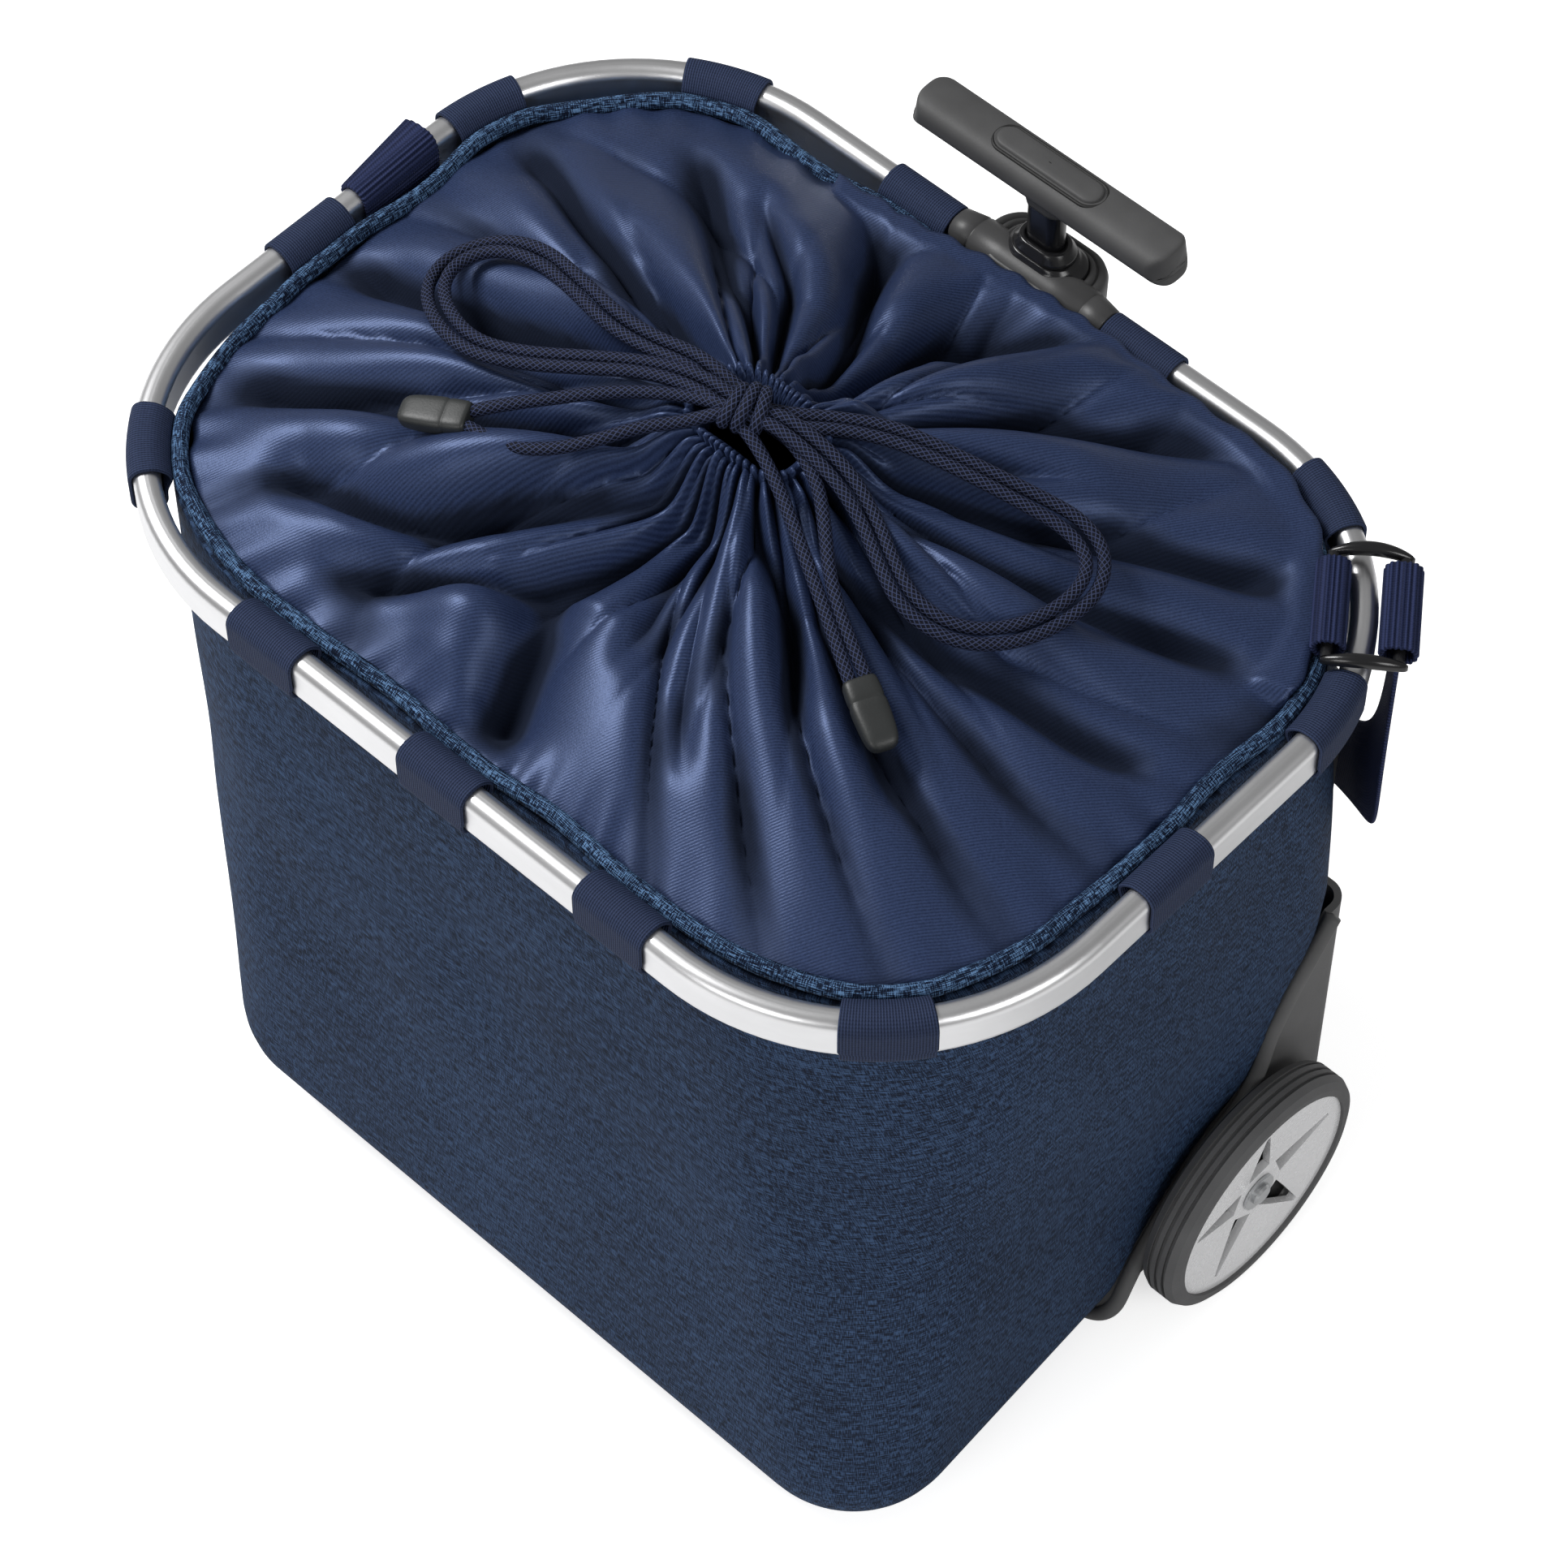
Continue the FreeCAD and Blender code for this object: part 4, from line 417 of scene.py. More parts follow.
def bag_grid(columns):
    """Rows of the bag's skin from its top edge down, round the rounded bottom edge and in to
    the middle of the bottom, with soft waves, a slack top edge between the loops, and the
    moulded base's inside as a limit."""
    walls = np.concatenate([[BAG_TOP, 383, 379, 373, 366], np.linspace(357, KNEE + 2, 62)])
    rows = []
    spread = []
    for height in walls:
        ring, facing, length = bag_ring(height, 0, columns)
        around = np.linspace(0, 2 * math.pi, columns, endpoint=False)
        slack = between_loops(ring) * math.exp(-(BAG_TOP - height) / 16) * 2.4
        high = (height - KNEE) / (BAG_TOP - KNEE)
        wave = (0.9 * np.sin(7 * around + 5 * high) * np.sin(2.2 * math.pi * high + 1.0)
                + 0.6 * np.sin(17 * around - 9 * high + 0.6) * high * (1 - high) * 3)
        sag = -2.2 * math.sin(math.pi * high) ** 2
        out = wave * math.sin(math.pi * min(high, 0.97)) - slack + sag * 0.35
        ring = ring + facing * out[:, None]
        dip = between_loops(ring) * math.exp(-(BAG_TOP - height) / 9) * 1.5
        level = np.full(columns, height) - dip
        rows.append(np.column_stack([ring, level]))
        spread.append((length, height))
    for step in np.linspace(0, math.pi / 2, 9):
        drop = (KNEE - BAG_FOOT) * math.sin(step)
        inward = 30 * (1 - math.cos(step)) ** 1.15
        ring, facing, length = bag_ring(KNEE, inward, columns)
        rows.append(np.column_stack([ring, np.full(columns, KNEE - drop)]))
        spread.append((length, KNEE - drop - inward))
    edge = rows[-1]
    for share in (0.85, 0.65, 0.45, 0.25, 0.1, 0):
        row = edge * [share, share, 1] + [0, -3 * (1 - share), 0]
        rows.append(row)
        spread.append((length * max(share, 0.01), -20 - 100 * (1 - share)))
    points = np.array(rows)
    y, z = points[..., 1], points[..., 2]
    sweep_y = [9, 13, 23, 37, 52, 68, 82, 91, 96, 106, 128]
    sweep_z = [8, 26, 45, 62, 78, 88, 93, 107, 129, 146, 176]
    above = z - np.interp(y, sweep_y, sweep_z, left=-60) - 2.0
    limit = 176.2 + np.maximum(above, 0) * 0.55
    limit_y = 137.2 + np.maximum(z - 178, 0) * 0.5
    points[..., 0] = np.clip(points[..., 0], -limit, limit)
    points[..., 1] = np.minimum(points[..., 1], limit_y)
    lengths, heights = np.array(spread).T
    around = np.linspace(0, 1, columns + 1)
    uv = np.stack(np.meshgrid(around * lengths.mean(), heights), -1) * MM
    return points, uv


def melange_group():
    """Heathered cloth on the UV map in metres: dashes along u, dashes up v, streaks and
    broad mottling.  Tone is their weighted sum, Height that of the two sets of dashes."""
    group = bpy.data.node_groups.new("melange", "ShaderNodeTree")
    socket = group.interface.new_socket
    socket("Vector", in_out="INPUT", socket_type="NodeSocketVector")
    socket("Tone", in_out="OUTPUT", socket_type="NodeSocketFloat")
    socket("Height", in_out="OUTPUT", socket_type="NodeSocketFloat")
    source = group.nodes.new("NodeGroupInput")
    sink = group.nodes.new("NodeGroupOutput")
    total = -0.26
    made = []
    for stretch, detail, weight in (((230, 2800, 1), 0.0, 0.66), ((3000, 280, 1), 0.0, 0.60),
                                    ((30, 500, 1), 0.0, 0.16), ((14, 9, 1), 2.0, 0.10)):
        warp = add(group, "VectorMath", source.outputs["Vector"], stretch, operation="MULTIPLY")
        noise = add(group, "TexNoise", noise_dimensions="2D", Vector=warp.outputs[0], Scale=1.0,
                    Detail=detail)
        total = reckon(group, "MULTIPLY_ADD", noise.outputs["Fac"], weight, total)
        made.append(total)
    fill(sink, Tone=total, Height=made[1])
    return group


MELANGE = melange_group()


def melange_cloth(name, dark, middle, light, bump, centre=0.5, spread=0.16):
    """Cloth that mixes three tones of yarn by the melange group."""
    material, tree, shader = paint(name, middle, 0.78, specular=0.1)
    place = add(tree, "UVMap", uv_map="UVMap")
    cloth = add(tree, "Group", node_tree=MELANGE, Vector=place.outputs["UV"])
    tones = add(tree, "ValToRGB", Fac=cloth.outputs["Tone"])
    ramp = tones.color_ramp
    ramp.elements[0].position = centre - spread
    ramp.elements[0].color = (*dark, 1)
    ramp.elements[1].position = centre + spread
    ramp.elements[1].color = (*light, 1)
    ramp.elements.new(centre).color = (*middle, 1)
    relief = add(tree, "Bump", Height=cloth.outputs["Height"], Strength=1.0, Distance=bump)
    fill(shader, Base_Color=tones.outputs["Color"], Normal=relief.outputs["Normal"])
    return material


bag_cloth = melange_cloth("bag_cloth", (0.0040, 0.0075, 0.018), (0.0115, 0.022, 0.050),
                          (0.038, 0.073, 0.150), 0.00010, 0.5, 0.15)
points, uv = bag_grid(560)
bag = skin("bag", points, "trolley", (False, True), uv, flip=True)
wall = bag.modifiers.new("padding", "SOLIDIFY")
wall.thickness = 0.0023
wall.offset = -1
bag.data.materials.append(bag_cloth)
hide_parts("bag_shell")

board_sheet = grained("board_sheet", (0.03, 0.03, 0.035), 0.7)
dress(board_sheet, "bottom_board")


# ------------------------------------------------------------------ corded edge
# Strip of the bag's cloth sewn over a cord round the bag's mouth, with pale yarns that catch
# the light.  It lies against each loop and hangs back between them.
def round_tube(path, radius, count, closed):
    """A round tube along a path: rings square to the path, with their first point up.  Returns
    the grid [along][round] and a UV in metres, u along and v round the tube."""
    if closed:
        step = np.roll(path, -1, 0) - np.roll(path, 1, 0)
    else:
        step = np.gradient(path, axis=0)
    ahead = step / np.linalg.norm(step, axis=1)[:, None]
    up = np.array([0, 0, 1.0]) - ahead * ahead[:, 2:]
    up /= np.linalg.norm(up, axis=1)[:, None]
    side = np.cross(ahead, up)
    turn = np.linspace(0, 2 * math.pi, count, endpoint=False)
    radius = np.broadcast_to(np.asarray(radius, float).reshape(-1, 1), (len(path), count))
    grid = (path[:, None] + up[:, None] * (np.cos(turn) * radius)[..., None]
            + side[:, None] * (np.sin(turn) * radius)[..., None])
    steps = np.linalg.norm(np.diff(path, axis=0), axis=1)
    along = np.concatenate([[0], np.cumsum(steps)])
    if closed:
        along = np.append(along, along[-1] + np.linalg.norm(path[0] - path[-1]))
    rounds = np.linspace(0, 2 * math.pi * float(radius.max()), count + 1)
    uv = np.stack(np.meshgrid(along, rounds, indexing="ij"), -1) * MM
    return grid, uv


edge_cloth = melange_cloth("edge_cloth", (0.003, 0.006, 0.016), (0.012, 0.026, 0.062),
                           (0.10, 0.19, 0.34), 0.00025, 0.53, 0.16)
edge_ring, facing, _ = rounded_ring(
    [(195.8, 136.3), (-195.8, 136.3), (-195.8, -143.8), (195.8, -143.8)], [86.8] * 4, 420)
slack = between_loops(edge_ring)
edge_ring = edge_ring - facing * (2.6 * slack)[:, None]
edge_level = 388.6 + 0.4 * np.sin(np.arange(420) * 0.31) - 1.2 * slack
edge_path = np.column_stack([edge_ring, edge_level])
points, uv = round_tube(edge_path, 3.2, 14, True)
edging = skin("bag_edging", points, "trolley", (True, True), uv, weld=True)
edging.data.materials.append(edge_cloth)
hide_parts("rim_piping")
seam_path = edge_path - np.column_stack([facing * 0.4, np.full(420, -1.9)])
points, uv = round_tube(seam_path, 1.75, 8, True)
seam_roll = skin("bag_edging_cord", points, "trolley", (True, True), uv, weld=True)
seam_roll.data.materials.append(edge_cloth)


# ------------------------------------------------------------------ drawstring cover
# Satin twill cover, sewn to the bag's edge and gathered on the draw cords in the hem of its
# throat.  Deep folds run out from the frilled throat; the cords rest on them.
COVER_COLUMNS = 500
THROAT = 0.125
COVER_SHARES = np.concatenate([np.linspace(1, 0.3, 56), np.linspace(0.29, THROAT, 34)])
# each fold: shares from the throat out, the angle at each in degrees, depth, width, lean
FOLDS = [
    ((0.20, 0.44, 0.75), (157, 160, 161), 7, 7, 1),
    ((0.18, 0.43, 0.80), (136, 141, 141), 8, 8, -1),
    ((0.24, 0.50, 0.73), (123, 123, 131), 6, 7, 1),
    ((0.31, 0.71, 1.00), (102, 112, 113), 7, 9, -1),
    ((0.20, 0.60, 1.00), (84, 88, 77), 14, 13, 1),
    ((0.27, 0.57, 0.98), (60, 55, 51), 10, 10, 1),
    ((0.21, 0.46, 0.95), (28, 31, 33), 8, 9, -1),
    ((0.22, 0.52, 0.87), (7, 13, 19), 8, 9, 1),
    ((0.22, 0.58, 0.90), (-19, -6, 2), 7, 8, -1),
    ((0.21, 0.35, 0.68), (-29, -32, -29), 8, 8, 1),
    ((0.21, 0.34, 0.50), (-46, -41, -40), 9, 8, 1),
    ((0.24, 0.49, 0.72), (-63, -61, -59), 7, 8, -1),
    ((0.20, 0.57, 0.95), (-88, -103, -91), 15, 13, 1),
    ((0.24, 0.62, 0.87), (-99, -111, -123), 8, 9, -1),
    ((0.20, 0.55, 0.80), (-118, -129, -140), 14, 12, 1),
    ((0.22, 0.49, 0.95), (-137, -149, -154), 8, 9, -1),
    ((0.20, 0.47, 0.99), (174, 184, 184), 8, 9, 1),
    ((0.20, 0.56, 0.97), (167, 161, 161), 6, 8, -1),
    ((0.29, 0.80, 1.00), (106, 110, 111), 5, 8, 1),
    ((0.20, 0.40, 0.62), (-160, -166, -170), 7, 8, 1),
    ((0.20, 0.33, 0.55), (44, 43, 41), 6, 7, -1),
    ((0.20, 0.36, 0.60), (-76, -80, -78), 6, 7, 1)]


def cover_height(share):
    """Height of the cover at a share of the way from the throat's middle (0) to the rim (1)."""
    return 388 + 46 * (1 - share ** 1.7)


def pleats(turn):
    """The small gathers round the throat: 46 waves whose spacing drifts."""
    return np.sin(46 * turn + 1.4 * np.sin(3 * turn))


def cover_grid():
    """The gathered cover as [share][angle].  A dome, less a sum of folds: each fold is a trough
    exp(-(d / width)^1.4) about its line, d being the distance across it, and the cloth on one
    side leans over it.  Fine pleats grow towards the throat, whose hem stands up as a frill and
    turns down inside."""
    corners = [(192, 132.5), (-192, 132.5), (-192, -140), (192, -140)]
    outline, _, _ = rounded_ring(corners, [83] * 4, 1200)
    polar = np.unwrap(np.arctan2(outline[:, 1], outline[:, 0]))
    reach = np.linalg.norm(outline, axis=1)
    order = np.argsort(polar % (2 * math.pi))
    angle = np.linspace(-math.pi, math.pi, COVER_COLUMNS, endpoint=False)
    far = np.interp(angle % (2 * math.pi), (polar % (2 * math.pi))[order], reach[order],
                    period=2 * math.pi)
    shares = COVER_SHARES[:, None]
    turn = angle[None]
    radius = shares * far[None]
    lift = cover_height(shares) + 0 * turn
    lift += 2.2 * np.sin(5 * turn + 1.1) * shares * (1 - shares) - 1.0
    across = np.zeros_like(lift)
    trough = np.zeros_like(lift)
    for stops, degrees, depth, width, lean in FOLDS:
        line = np.interp(COVER_SHARES, stops, np.radians(degrees))[:, None]
        gap = (turn - line + math.pi) % (2 * math.pi) - math.pi
        apart = gap * radius
        begin = np.clip((shares - stops[0] + 0.06) / 0.12, 0, 1)
        end = np.clip((stops[-1] + 0.10 - shares) / 0.22, 0, 1)
        strength = begin * begin * (3 - 2 * begin) * end * end * (3 - 2 * end)
        wide = width * (0.35 + 0.85 * np.clip(shares / 0.6, 0, 1))
        trough += depth * strength * np.exp(-(np.abs(apart) / wide) ** 1.4)
        swell = np.exp(-((apart + lean * 1.3 * wide) / (1.1 * wide)) ** 2)
        trough -= 0.28 * depth * strength * swell
        across += lean * 0.40 * wide * strength * np.exp(-((apart + lean * 0.6 * wide) / wide) ** 2)
    lift -= 34 * np.tanh(trough / 15) * np.clip((cover_height(shares) - 385) / 12, 0.10, 1)
    lift += 2.6 * np.sin(11 * turn + 2.2 * shares) * np.clip(4 * shares * (1 - shares), 0, 1)
    bend = 13 * turn + 1.6 * np.sin(2 * turn + 1) + 2.6 * shares + 0.9 * np.sin(3 * turn)
    crease = np.abs(np.sin(bend)) ** 0.5
    lift += 13 * (crease - 0.85) * np.exp(-((shares - 0.30) / 0.26) ** 2)
    bend = 9 * turn + 2.1 * np.sin(3 * turn + 2) - 3.4 * shares + 1.2 * np.sin(2 * turn)
    crease = np.abs(np.sin(bend)) ** 0.5
    lift += 13 * (crease - 0.85) * np.exp(-((shares - 0.62) / 0.27) ** 2)
    fine = np.exp(-np.maximum(shares - 0.16, 0) / 0.11)
    lift += 2.2 * fine * pleats(turn)
    bend = 23 * turn + 2 * np.sin(2 * turn) + 6 * shares
    lift += 1.9 * np.exp(-np.maximum(shares - 0.2, 0) / 0.26) * np.sin(bend)
    pucker = np.clip((shares - 0.88) / 0.12, 0, 1)
    lift += pucker * (0.7 * np.sin(64 * turn + 3 * np.sin(5 * turn)) - 0.5)
    radius = radius + 0.9 * pucker * np.sin(57 * turn)
    slack = np.exp(-((turn - math.radians(70)) / math.radians(38)) ** 4)
    puff = slack * np.exp(-((shares - 0.97) / 0.12) ** 2)
    lift += 6.5 * puff * (1 + 0.25 * np.sin(13 * turn))
    lowest = 393.6 + 3 * puff - 110 * np.clip(0.945 - shares, 0, 1)
    lift = np.where(puff > 0.03, np.maximum(lift, lowest), lift)
    radius = radius + 8.0 * puff * (shares > 0.5)
    crest = np.exp(-((shares - 0.165) / 0.035) ** 2)
    lift += 1.5 * crest
    x = radius * np.cos(turn) - across * np.sin(turn)
    y = radius * np.sin(turn) + across * np.cos(turn) + 3 * (1 - shares)
    points = np.stack([x, y, lift], -1)
    frill = []
    throat = THROAT * far
    frill_wave = pleats(angle)
    for inward, height, wave in (
            (0.0, 436.2, 1.7), (-0.8, 437.0, 1.9), (-2.2, 436.2, 1.7), (-3.4, 433.0, 1.3),
            (-4.0, 428.0, 0.9), (-4.2, 421.0, 0.7)):
        ring = throat + inward + wave * 0.6 * frill_wave
        frill.append(np.stack([
            ring * np.cos(angle), ring * np.sin(angle) + 2.6,
            height + wave * frill_wave], -1))
    points = np.concatenate([points, np.array(frill)])
    edge = points[:1] + 0
    edge[..., :2] *= 1.002
    edge[..., 2] -= 2.5
    points = np.concatenate([edge, points])
    down = np.concatenate([[1.01], COVER_SHARES, 0.12 - 0.01 * np.arange(6)])
    uv = np.stack(np.meshgrid(np.linspace(0, 1.17, COVER_COLUMNS + 1), down * 0.19), -1)
    return points, uv


def satin_twill(name, colour, light, roughness):
    """Fine satin twill: slanted lines about a millimetre apart on object coordinates, a
    little fuzz of tone, and darker, rougher cloth where the attribute hollow is high, as it is
    crushed and shut in at the bottom of a fold."""
    material, tree, shader = paint(name, colour, roughness, specular=0.6)
    where = add(tree, "TexCoord").outputs["Object"]
    turned = add(tree, "Mapping", Vector=where, Rotation=(0, 0, math.radians(35)))
    lines = add(tree, "TexWave", wave_type="BANDS", bands_direction="X",
                Vector=turned.outputs["Vector"], Scale=300.0, Distortion=0.6, Detail=1.0)
    noise = add(tree, "TexNoise", Vector=where, Scale=1400.0, Detail=2.0)
    total = reckon(tree, "MULTIPLY_ADD", lines.outputs["Fac"], 0.5, noise.outputs["Fac"])
    tones = add(tree, "MapRange", Value=total, From_Min=0.3, From_Max=1.2)
    mix = add(tree, "Mix", data_type="RGBA", Factor=tones.outputs["Result"], A=(*colour, 1),
              B=(*light, 1))
    hollow = add(tree, "Attribute", attribute_name="hollow").outputs["Fac"]
    dim = add(tree, "MapRange", Value=hollow, To_Min=1.0, To_Max=0.12)
    dimmed = add(tree, "VectorMath", mix.outputs["Result"], operation="SCALE",
                 Scale=dim.outputs["Result"])
    dull = add(tree, "MapRange", Value=hollow, To_Min=roughness, To_Max=0.95)
    relief = add(tree, "Bump", Height=total, Strength=1.0, Distance=0.00006)
    fill(shader, Base_Color=dimmed.outputs[0], Roughness=dull.outputs["Result"],
         Normal=relief.outputs["Normal"], Specular_Tint=(0.42, 0.55, 0.95, 1))
    return material


cover_satin = satin_twill("cover_satin", (0.008, 0.013, 0.035), (0.028, 0.044, 0.104), 0.40)
points, uv = cover_grid()
cover = skin("cover", points, "trolley", (False, True), uv, flip=True)
# hollow is how far the cloth dips below the mean height about it, along the same row
level = sum(np.roll(points[..., 2], shift, 1) for shift in range(-13, 14)) / 27
near = sum(np.roll(points[..., 2], shift, 1) for shift in range(-3, 4)) / 7
hollow = np.clip((level - near) / 2.6, 0, 1) ** 0.8
cover.data.attributes.new("hollow", "FLOAT", "POINT").data.foreach_set("value", hollow.ravel())
wall = cover.modifiers.new("cloth", "SOLIDIFY")
wall.thickness = 0.0005
wall.offset = -1
cover.data.materials.append(cover_satin)
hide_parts("drawstring_cover")


# ------------------------------------------------------------------ draw cords
# Two doubled round braids, 5 mm thick.  They leave the hem, cross in the bow's knot, make one
# bow loop each, come back through the knot and end in flat plastic cord ends.
ROUTES = {
    "cord_left_outer": [
        (18.5, 11.5, 36), (7.5, 8.5, 43), (-5, 7, 45), (-19, 7, 46), (-35, 9, 44.5),
        (-53, 6, 41.5), (-72.5, 7, 37.5), (-97.5, 13.5, 31.5), (-121, 19, 25), (-140.5, 14.5, 18.5),
        (-151, -1.5, 14.5), (-145, -19, 16.5), (-127, -31.5, 23), (-105, -37, 29), (-83, -30.5, 34.5),
        (-62.5, -19.5, 39.5), (-44, -8.5, 43), (-26.5, -4, 46), (-11.5, -5, 49), (2.5, -6.5, 48),
        (17, -11, 45), (33, -19, 43), (53, -30, 39.5), (75, -42, 34.5), (93, -52, 30)],
    "cord_left_inner": [
        (19.5, 6.5, 36), (8.5, 3.5, 43), (-5, 1, 45), (-19, 1, 46), (-35, 3, 44.5),
        (-53, 0, 41.5), (-73.5, 1, 37.5), (-98.5, 8.5, 31), (-121, 13, 24.5), (-137.5, 9, 20),
        (-144.5, -2.5, 17.5), (-139.5, -15.5, 19), (-124, -26, 24), (-105, -31, 29),
        (-85, -25.5, 34.5), (-65.5, -14.5, 39), (-46, -3.5, 42.5), (-27.5, 2, 46), (-11, 1, 49),
        (5, 1.5, 49), (20, 1, 46), (35, -5, 44), (48, -16, 42), (61, -28, 39), (78, -39, 34.5),
        (96, -47, 30)],
    "cord_right_outer": [
        (-21.5, 6, 39), (-12, 5, 44), (-2, 5.5, 45), (9.5, 11.5, 46), (21.5, 21, 45.5),
        (35.5, 31.5, 43.5), (52, 37.5, 41), (69, 43, 37.5), (87, 49.5, 33), (104, 55, 28.5),
        (118.5, 51, 25), (126.5, 37.5, 23), (125.5, 18.5, 23), (119.5, -0.5, 25),
        (106.5, -15.5, 29), (88, -20, 34), (71, -13.5, 38), (56, -5.5, 41), (40.5, -1, 46),
        (24, 0, 50), (8.5, -1, 52), (-8.5, -4.5, 50), (-24, -7, 45), (-38, -15, 43),
        (-51, -25, 40.5), (-64, -37, 37), (-75, -47, 34), (-84, -56, 30.5)],
    "cord_right_inner": [
        (-22.5, 0, 39), (-12, -1, 44), (0, 0.5, 45), (12.5, 6.5, 46), (24.5, 17, 45.5),
        (38.5, 26.5, 43.5), (54, 32.5, 41), (71, 38, 37.5), (88.5, 43.5, 33), (103, 47.5, 29),
        (115, 45, 26.5), (121, 35, 25), (120.5, 19.5, 25), (114.5, 2.5, 26.5), (103.5, -10.5, 30),
        (88, -14, 34), (73, -8.5, 37.5), (58, -0.5, 40.5), (41.5, 5, 46), (24, 6, 50),
        (7, 4.5, 52), (-7, -6, 50), (-18, -16, 44), (-29, -27, 42), (-38, -40, 38.5),
        (-49, -52, 35), (-63, -60, 32), (-80, -61, 30)]}
CORD_RADIUS = 2.45


def smooth_route(name, stops):
    """Points along a quadratic NURBS line whose control points are the stops, in metres."""
    line = bpy.data.curves.new(name, "CURVE")
    line.dimensions = "3D"
    spline = line.splines.new("NURBS")
    placed = (np.array(stops, float) + [0, PLAN_Y, RIM_TOP]) * MM
    spline.points.add(len(placed) - 1)
    spline.points.foreach_set("co", np.column_stack([placed, np.ones(len(placed))]).ravel())
    spline.order_u = 3
    spline.use_endpoint_u = True
    line.resolution_u = 12
    holder = bpy.data.objects.new(name, line)
    bpy.context.scene.collection.objects.link(holder)
    bpy.context.view_layer.update()
    mesh = bpy.data.meshes.new_from_object(holder)
    route = np.empty(len(mesh.vertices) * 3)
    mesh.vertices.foreach_get("co", route)
    bpy.data.meshes.remove(mesh)
    bpy.data.objects.remove(holder)
    bpy.data.curves.remove(line)
    return route.reshape(-1, 3)


def even(route, spacing):
    """The route again at an even spacing."""
    steps = np.linalg.norm(np.diff(route, axis=0), axis=1)
    along = np.concatenate([[0], np.cumsum(steps)])
    wanted = np.linspace(0, along[-1], int(along[-1] / spacing) + 1)
    return np.stack([np.interp(wanted, along, route[:, k]) for k in range(3)], -1)


def braid_material(name, colour, light):
    """Round braid: two sets of yarns cross at a slant, pale on their crowns."""
    material, tree, shader = paint(name, colour, 0.66, specular=0.15)
    place = add(tree, "UVMap", uv_map="UVMap")
    parts = add(tree, "SeparateXYZ", place.outputs["UV"])
    waves = []
    for slope in (1, -1):
        length = reckon(tree, "MULTIPLY", parts.outputs["X"], 2 * math.pi / 0.0026)
        slanted = reckon(tree, "MULTIPLY_ADD", parts.outputs["Y"],
                         slope * 8 * 2 * math.pi / (2 * math.pi * CORD_RADIUS * MM), length)
        waves.append(reckon(tree, "SINE", slanted))
    crowns = reckon(tree, "MAXIMUM", *waves)
    tones = add(tree, "MapRange", Value=crowns, From_Min=0.2, From_Max=1.0)
    mix = add(tree, "Mix", data_type="RGBA", Factor=tones.outputs["Result"], A=(*colour, 1),
              B=(*light, 1))
    relief = add(tree, "Bump", Height=tones.outputs["Result"], Strength=1.0, Distance=0.0005)
    fill(shader, Base_Color=mix.outputs["Result"], Normal=relief.outputs["Normal"])
    return material


navy_braid = braid_material("navy_braid", (0.002, 0.003, 0.008), (0.040, 0.052, 0.112))
end_moulding = grained("end_moulding", (0.018, 0.020, 0.020), 0.45, 1200.0)


def cord_strand(name):
    """One strand as a closed round tube along its route; returns it with its path in metres."""
    path = even(smooth_route(name + "_line", ROUTES[name]), 1.6 * MM)
    local = path / MM - [0, PLAN_Y, 0]
    caps = [local[:1] + (local[:1] - local[1:2]) * k for k in (1.2, 1.0, 0.6)]
    tail = [local[-1:] + (local[-1:] - local[-2:-1]) * k for k in (0.6, 1.0, 1.2)]
    line = np.concatenate([*caps, local, *tail])
    radius = np.full(len(line), CORD_RADIUS)
    radius[:3] = (0.001, 1.6, 2.2)
    radius[-3:] = (2.2, 1.6, 0.001)
    points, uv = round_tube(line, radius, 16, False)
    strand = skin(name + "_braid", points, "trolley", (False, True), uv, weld=True)
    strand.data.materials.append(navy_braid)
    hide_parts(name)
    return strand, path


def cord_end(name, first, second):
    """Flat plastic end: a ribbed collar at its mouth, a groove and a body with a rounded tip.
    Its section is a superellipse carried along the strands' last direction."""
    tips = np.array([first[-1], second[-1]]) / MM
    runs = np.array([first[-1] - first[-3], second[-1] - second[-3]])
    runs /= np.linalg.norm(runs, axis=1)[:, None]
    ahead = runs.sum(0) / np.linalg.norm(runs.sum(0))
    side = tips[0] - tips[1]
    side -= ahead * side.dot(ahead)
    side /= np.linalg.norm(side)
    over = np.cross(ahead, side)
    mouth = tips.mean(0) - ahead * 0.5 - [0, PLAN_Y, 0]
    stations = np.array([
        (0.0, 0.1, 0.1), (0.0, 5.6, 3.4), (0.5, 6.3, 3.9), (7.8, 6.6, 4.1), (8.4, 6.2, 3.8),
        (8.8, 6.2, 3.7), (9.4, 6.7, 4.1), (14, 6.6, 4.2), (21, 6.2, 4.1), (24.5, 5.6, 3.6),
        (26.3, 4.4, 2.6), (27, 2.4, 1.2), (27, 0.1, 0.1)])
    turn = np.linspace(0, 2 * math.pi, 40, endpoint=False)
    cos = np.sign(np.cos(turn)) * np.abs(np.cos(turn)) ** 0.45
    sin = np.sign(np.sin(turn)) * np.abs(np.sin(turn)) ** 0.6
    points = (mouth + ahead * stations[:, None, :1]
              + side * (stations[:, None, 1:2] * cos[None, :, None])
              + over * (stations[:, None, 2:3] * sin[None, :, None]))
    tip = skin(name + "_moulding", points, "trolley", (False, True), weld=True)
    soft = tip.modifiers.new("round", "SUBSURF")
    soft.levels = 1
    soft.render_levels = 1
    tip.data.materials.append(end_moulding)
    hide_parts(name)
    return tip


strands = {name: cord_strand(name) for name in ROUTES}
end_right = cord_end("cord_end_right", strands["cord_left_outer"][1], strands["cord_left_inner"][1])
end_left = cord_end("cord_end_left", strands["cord_right_outer"][1], strands["cord_right_inner"][1])


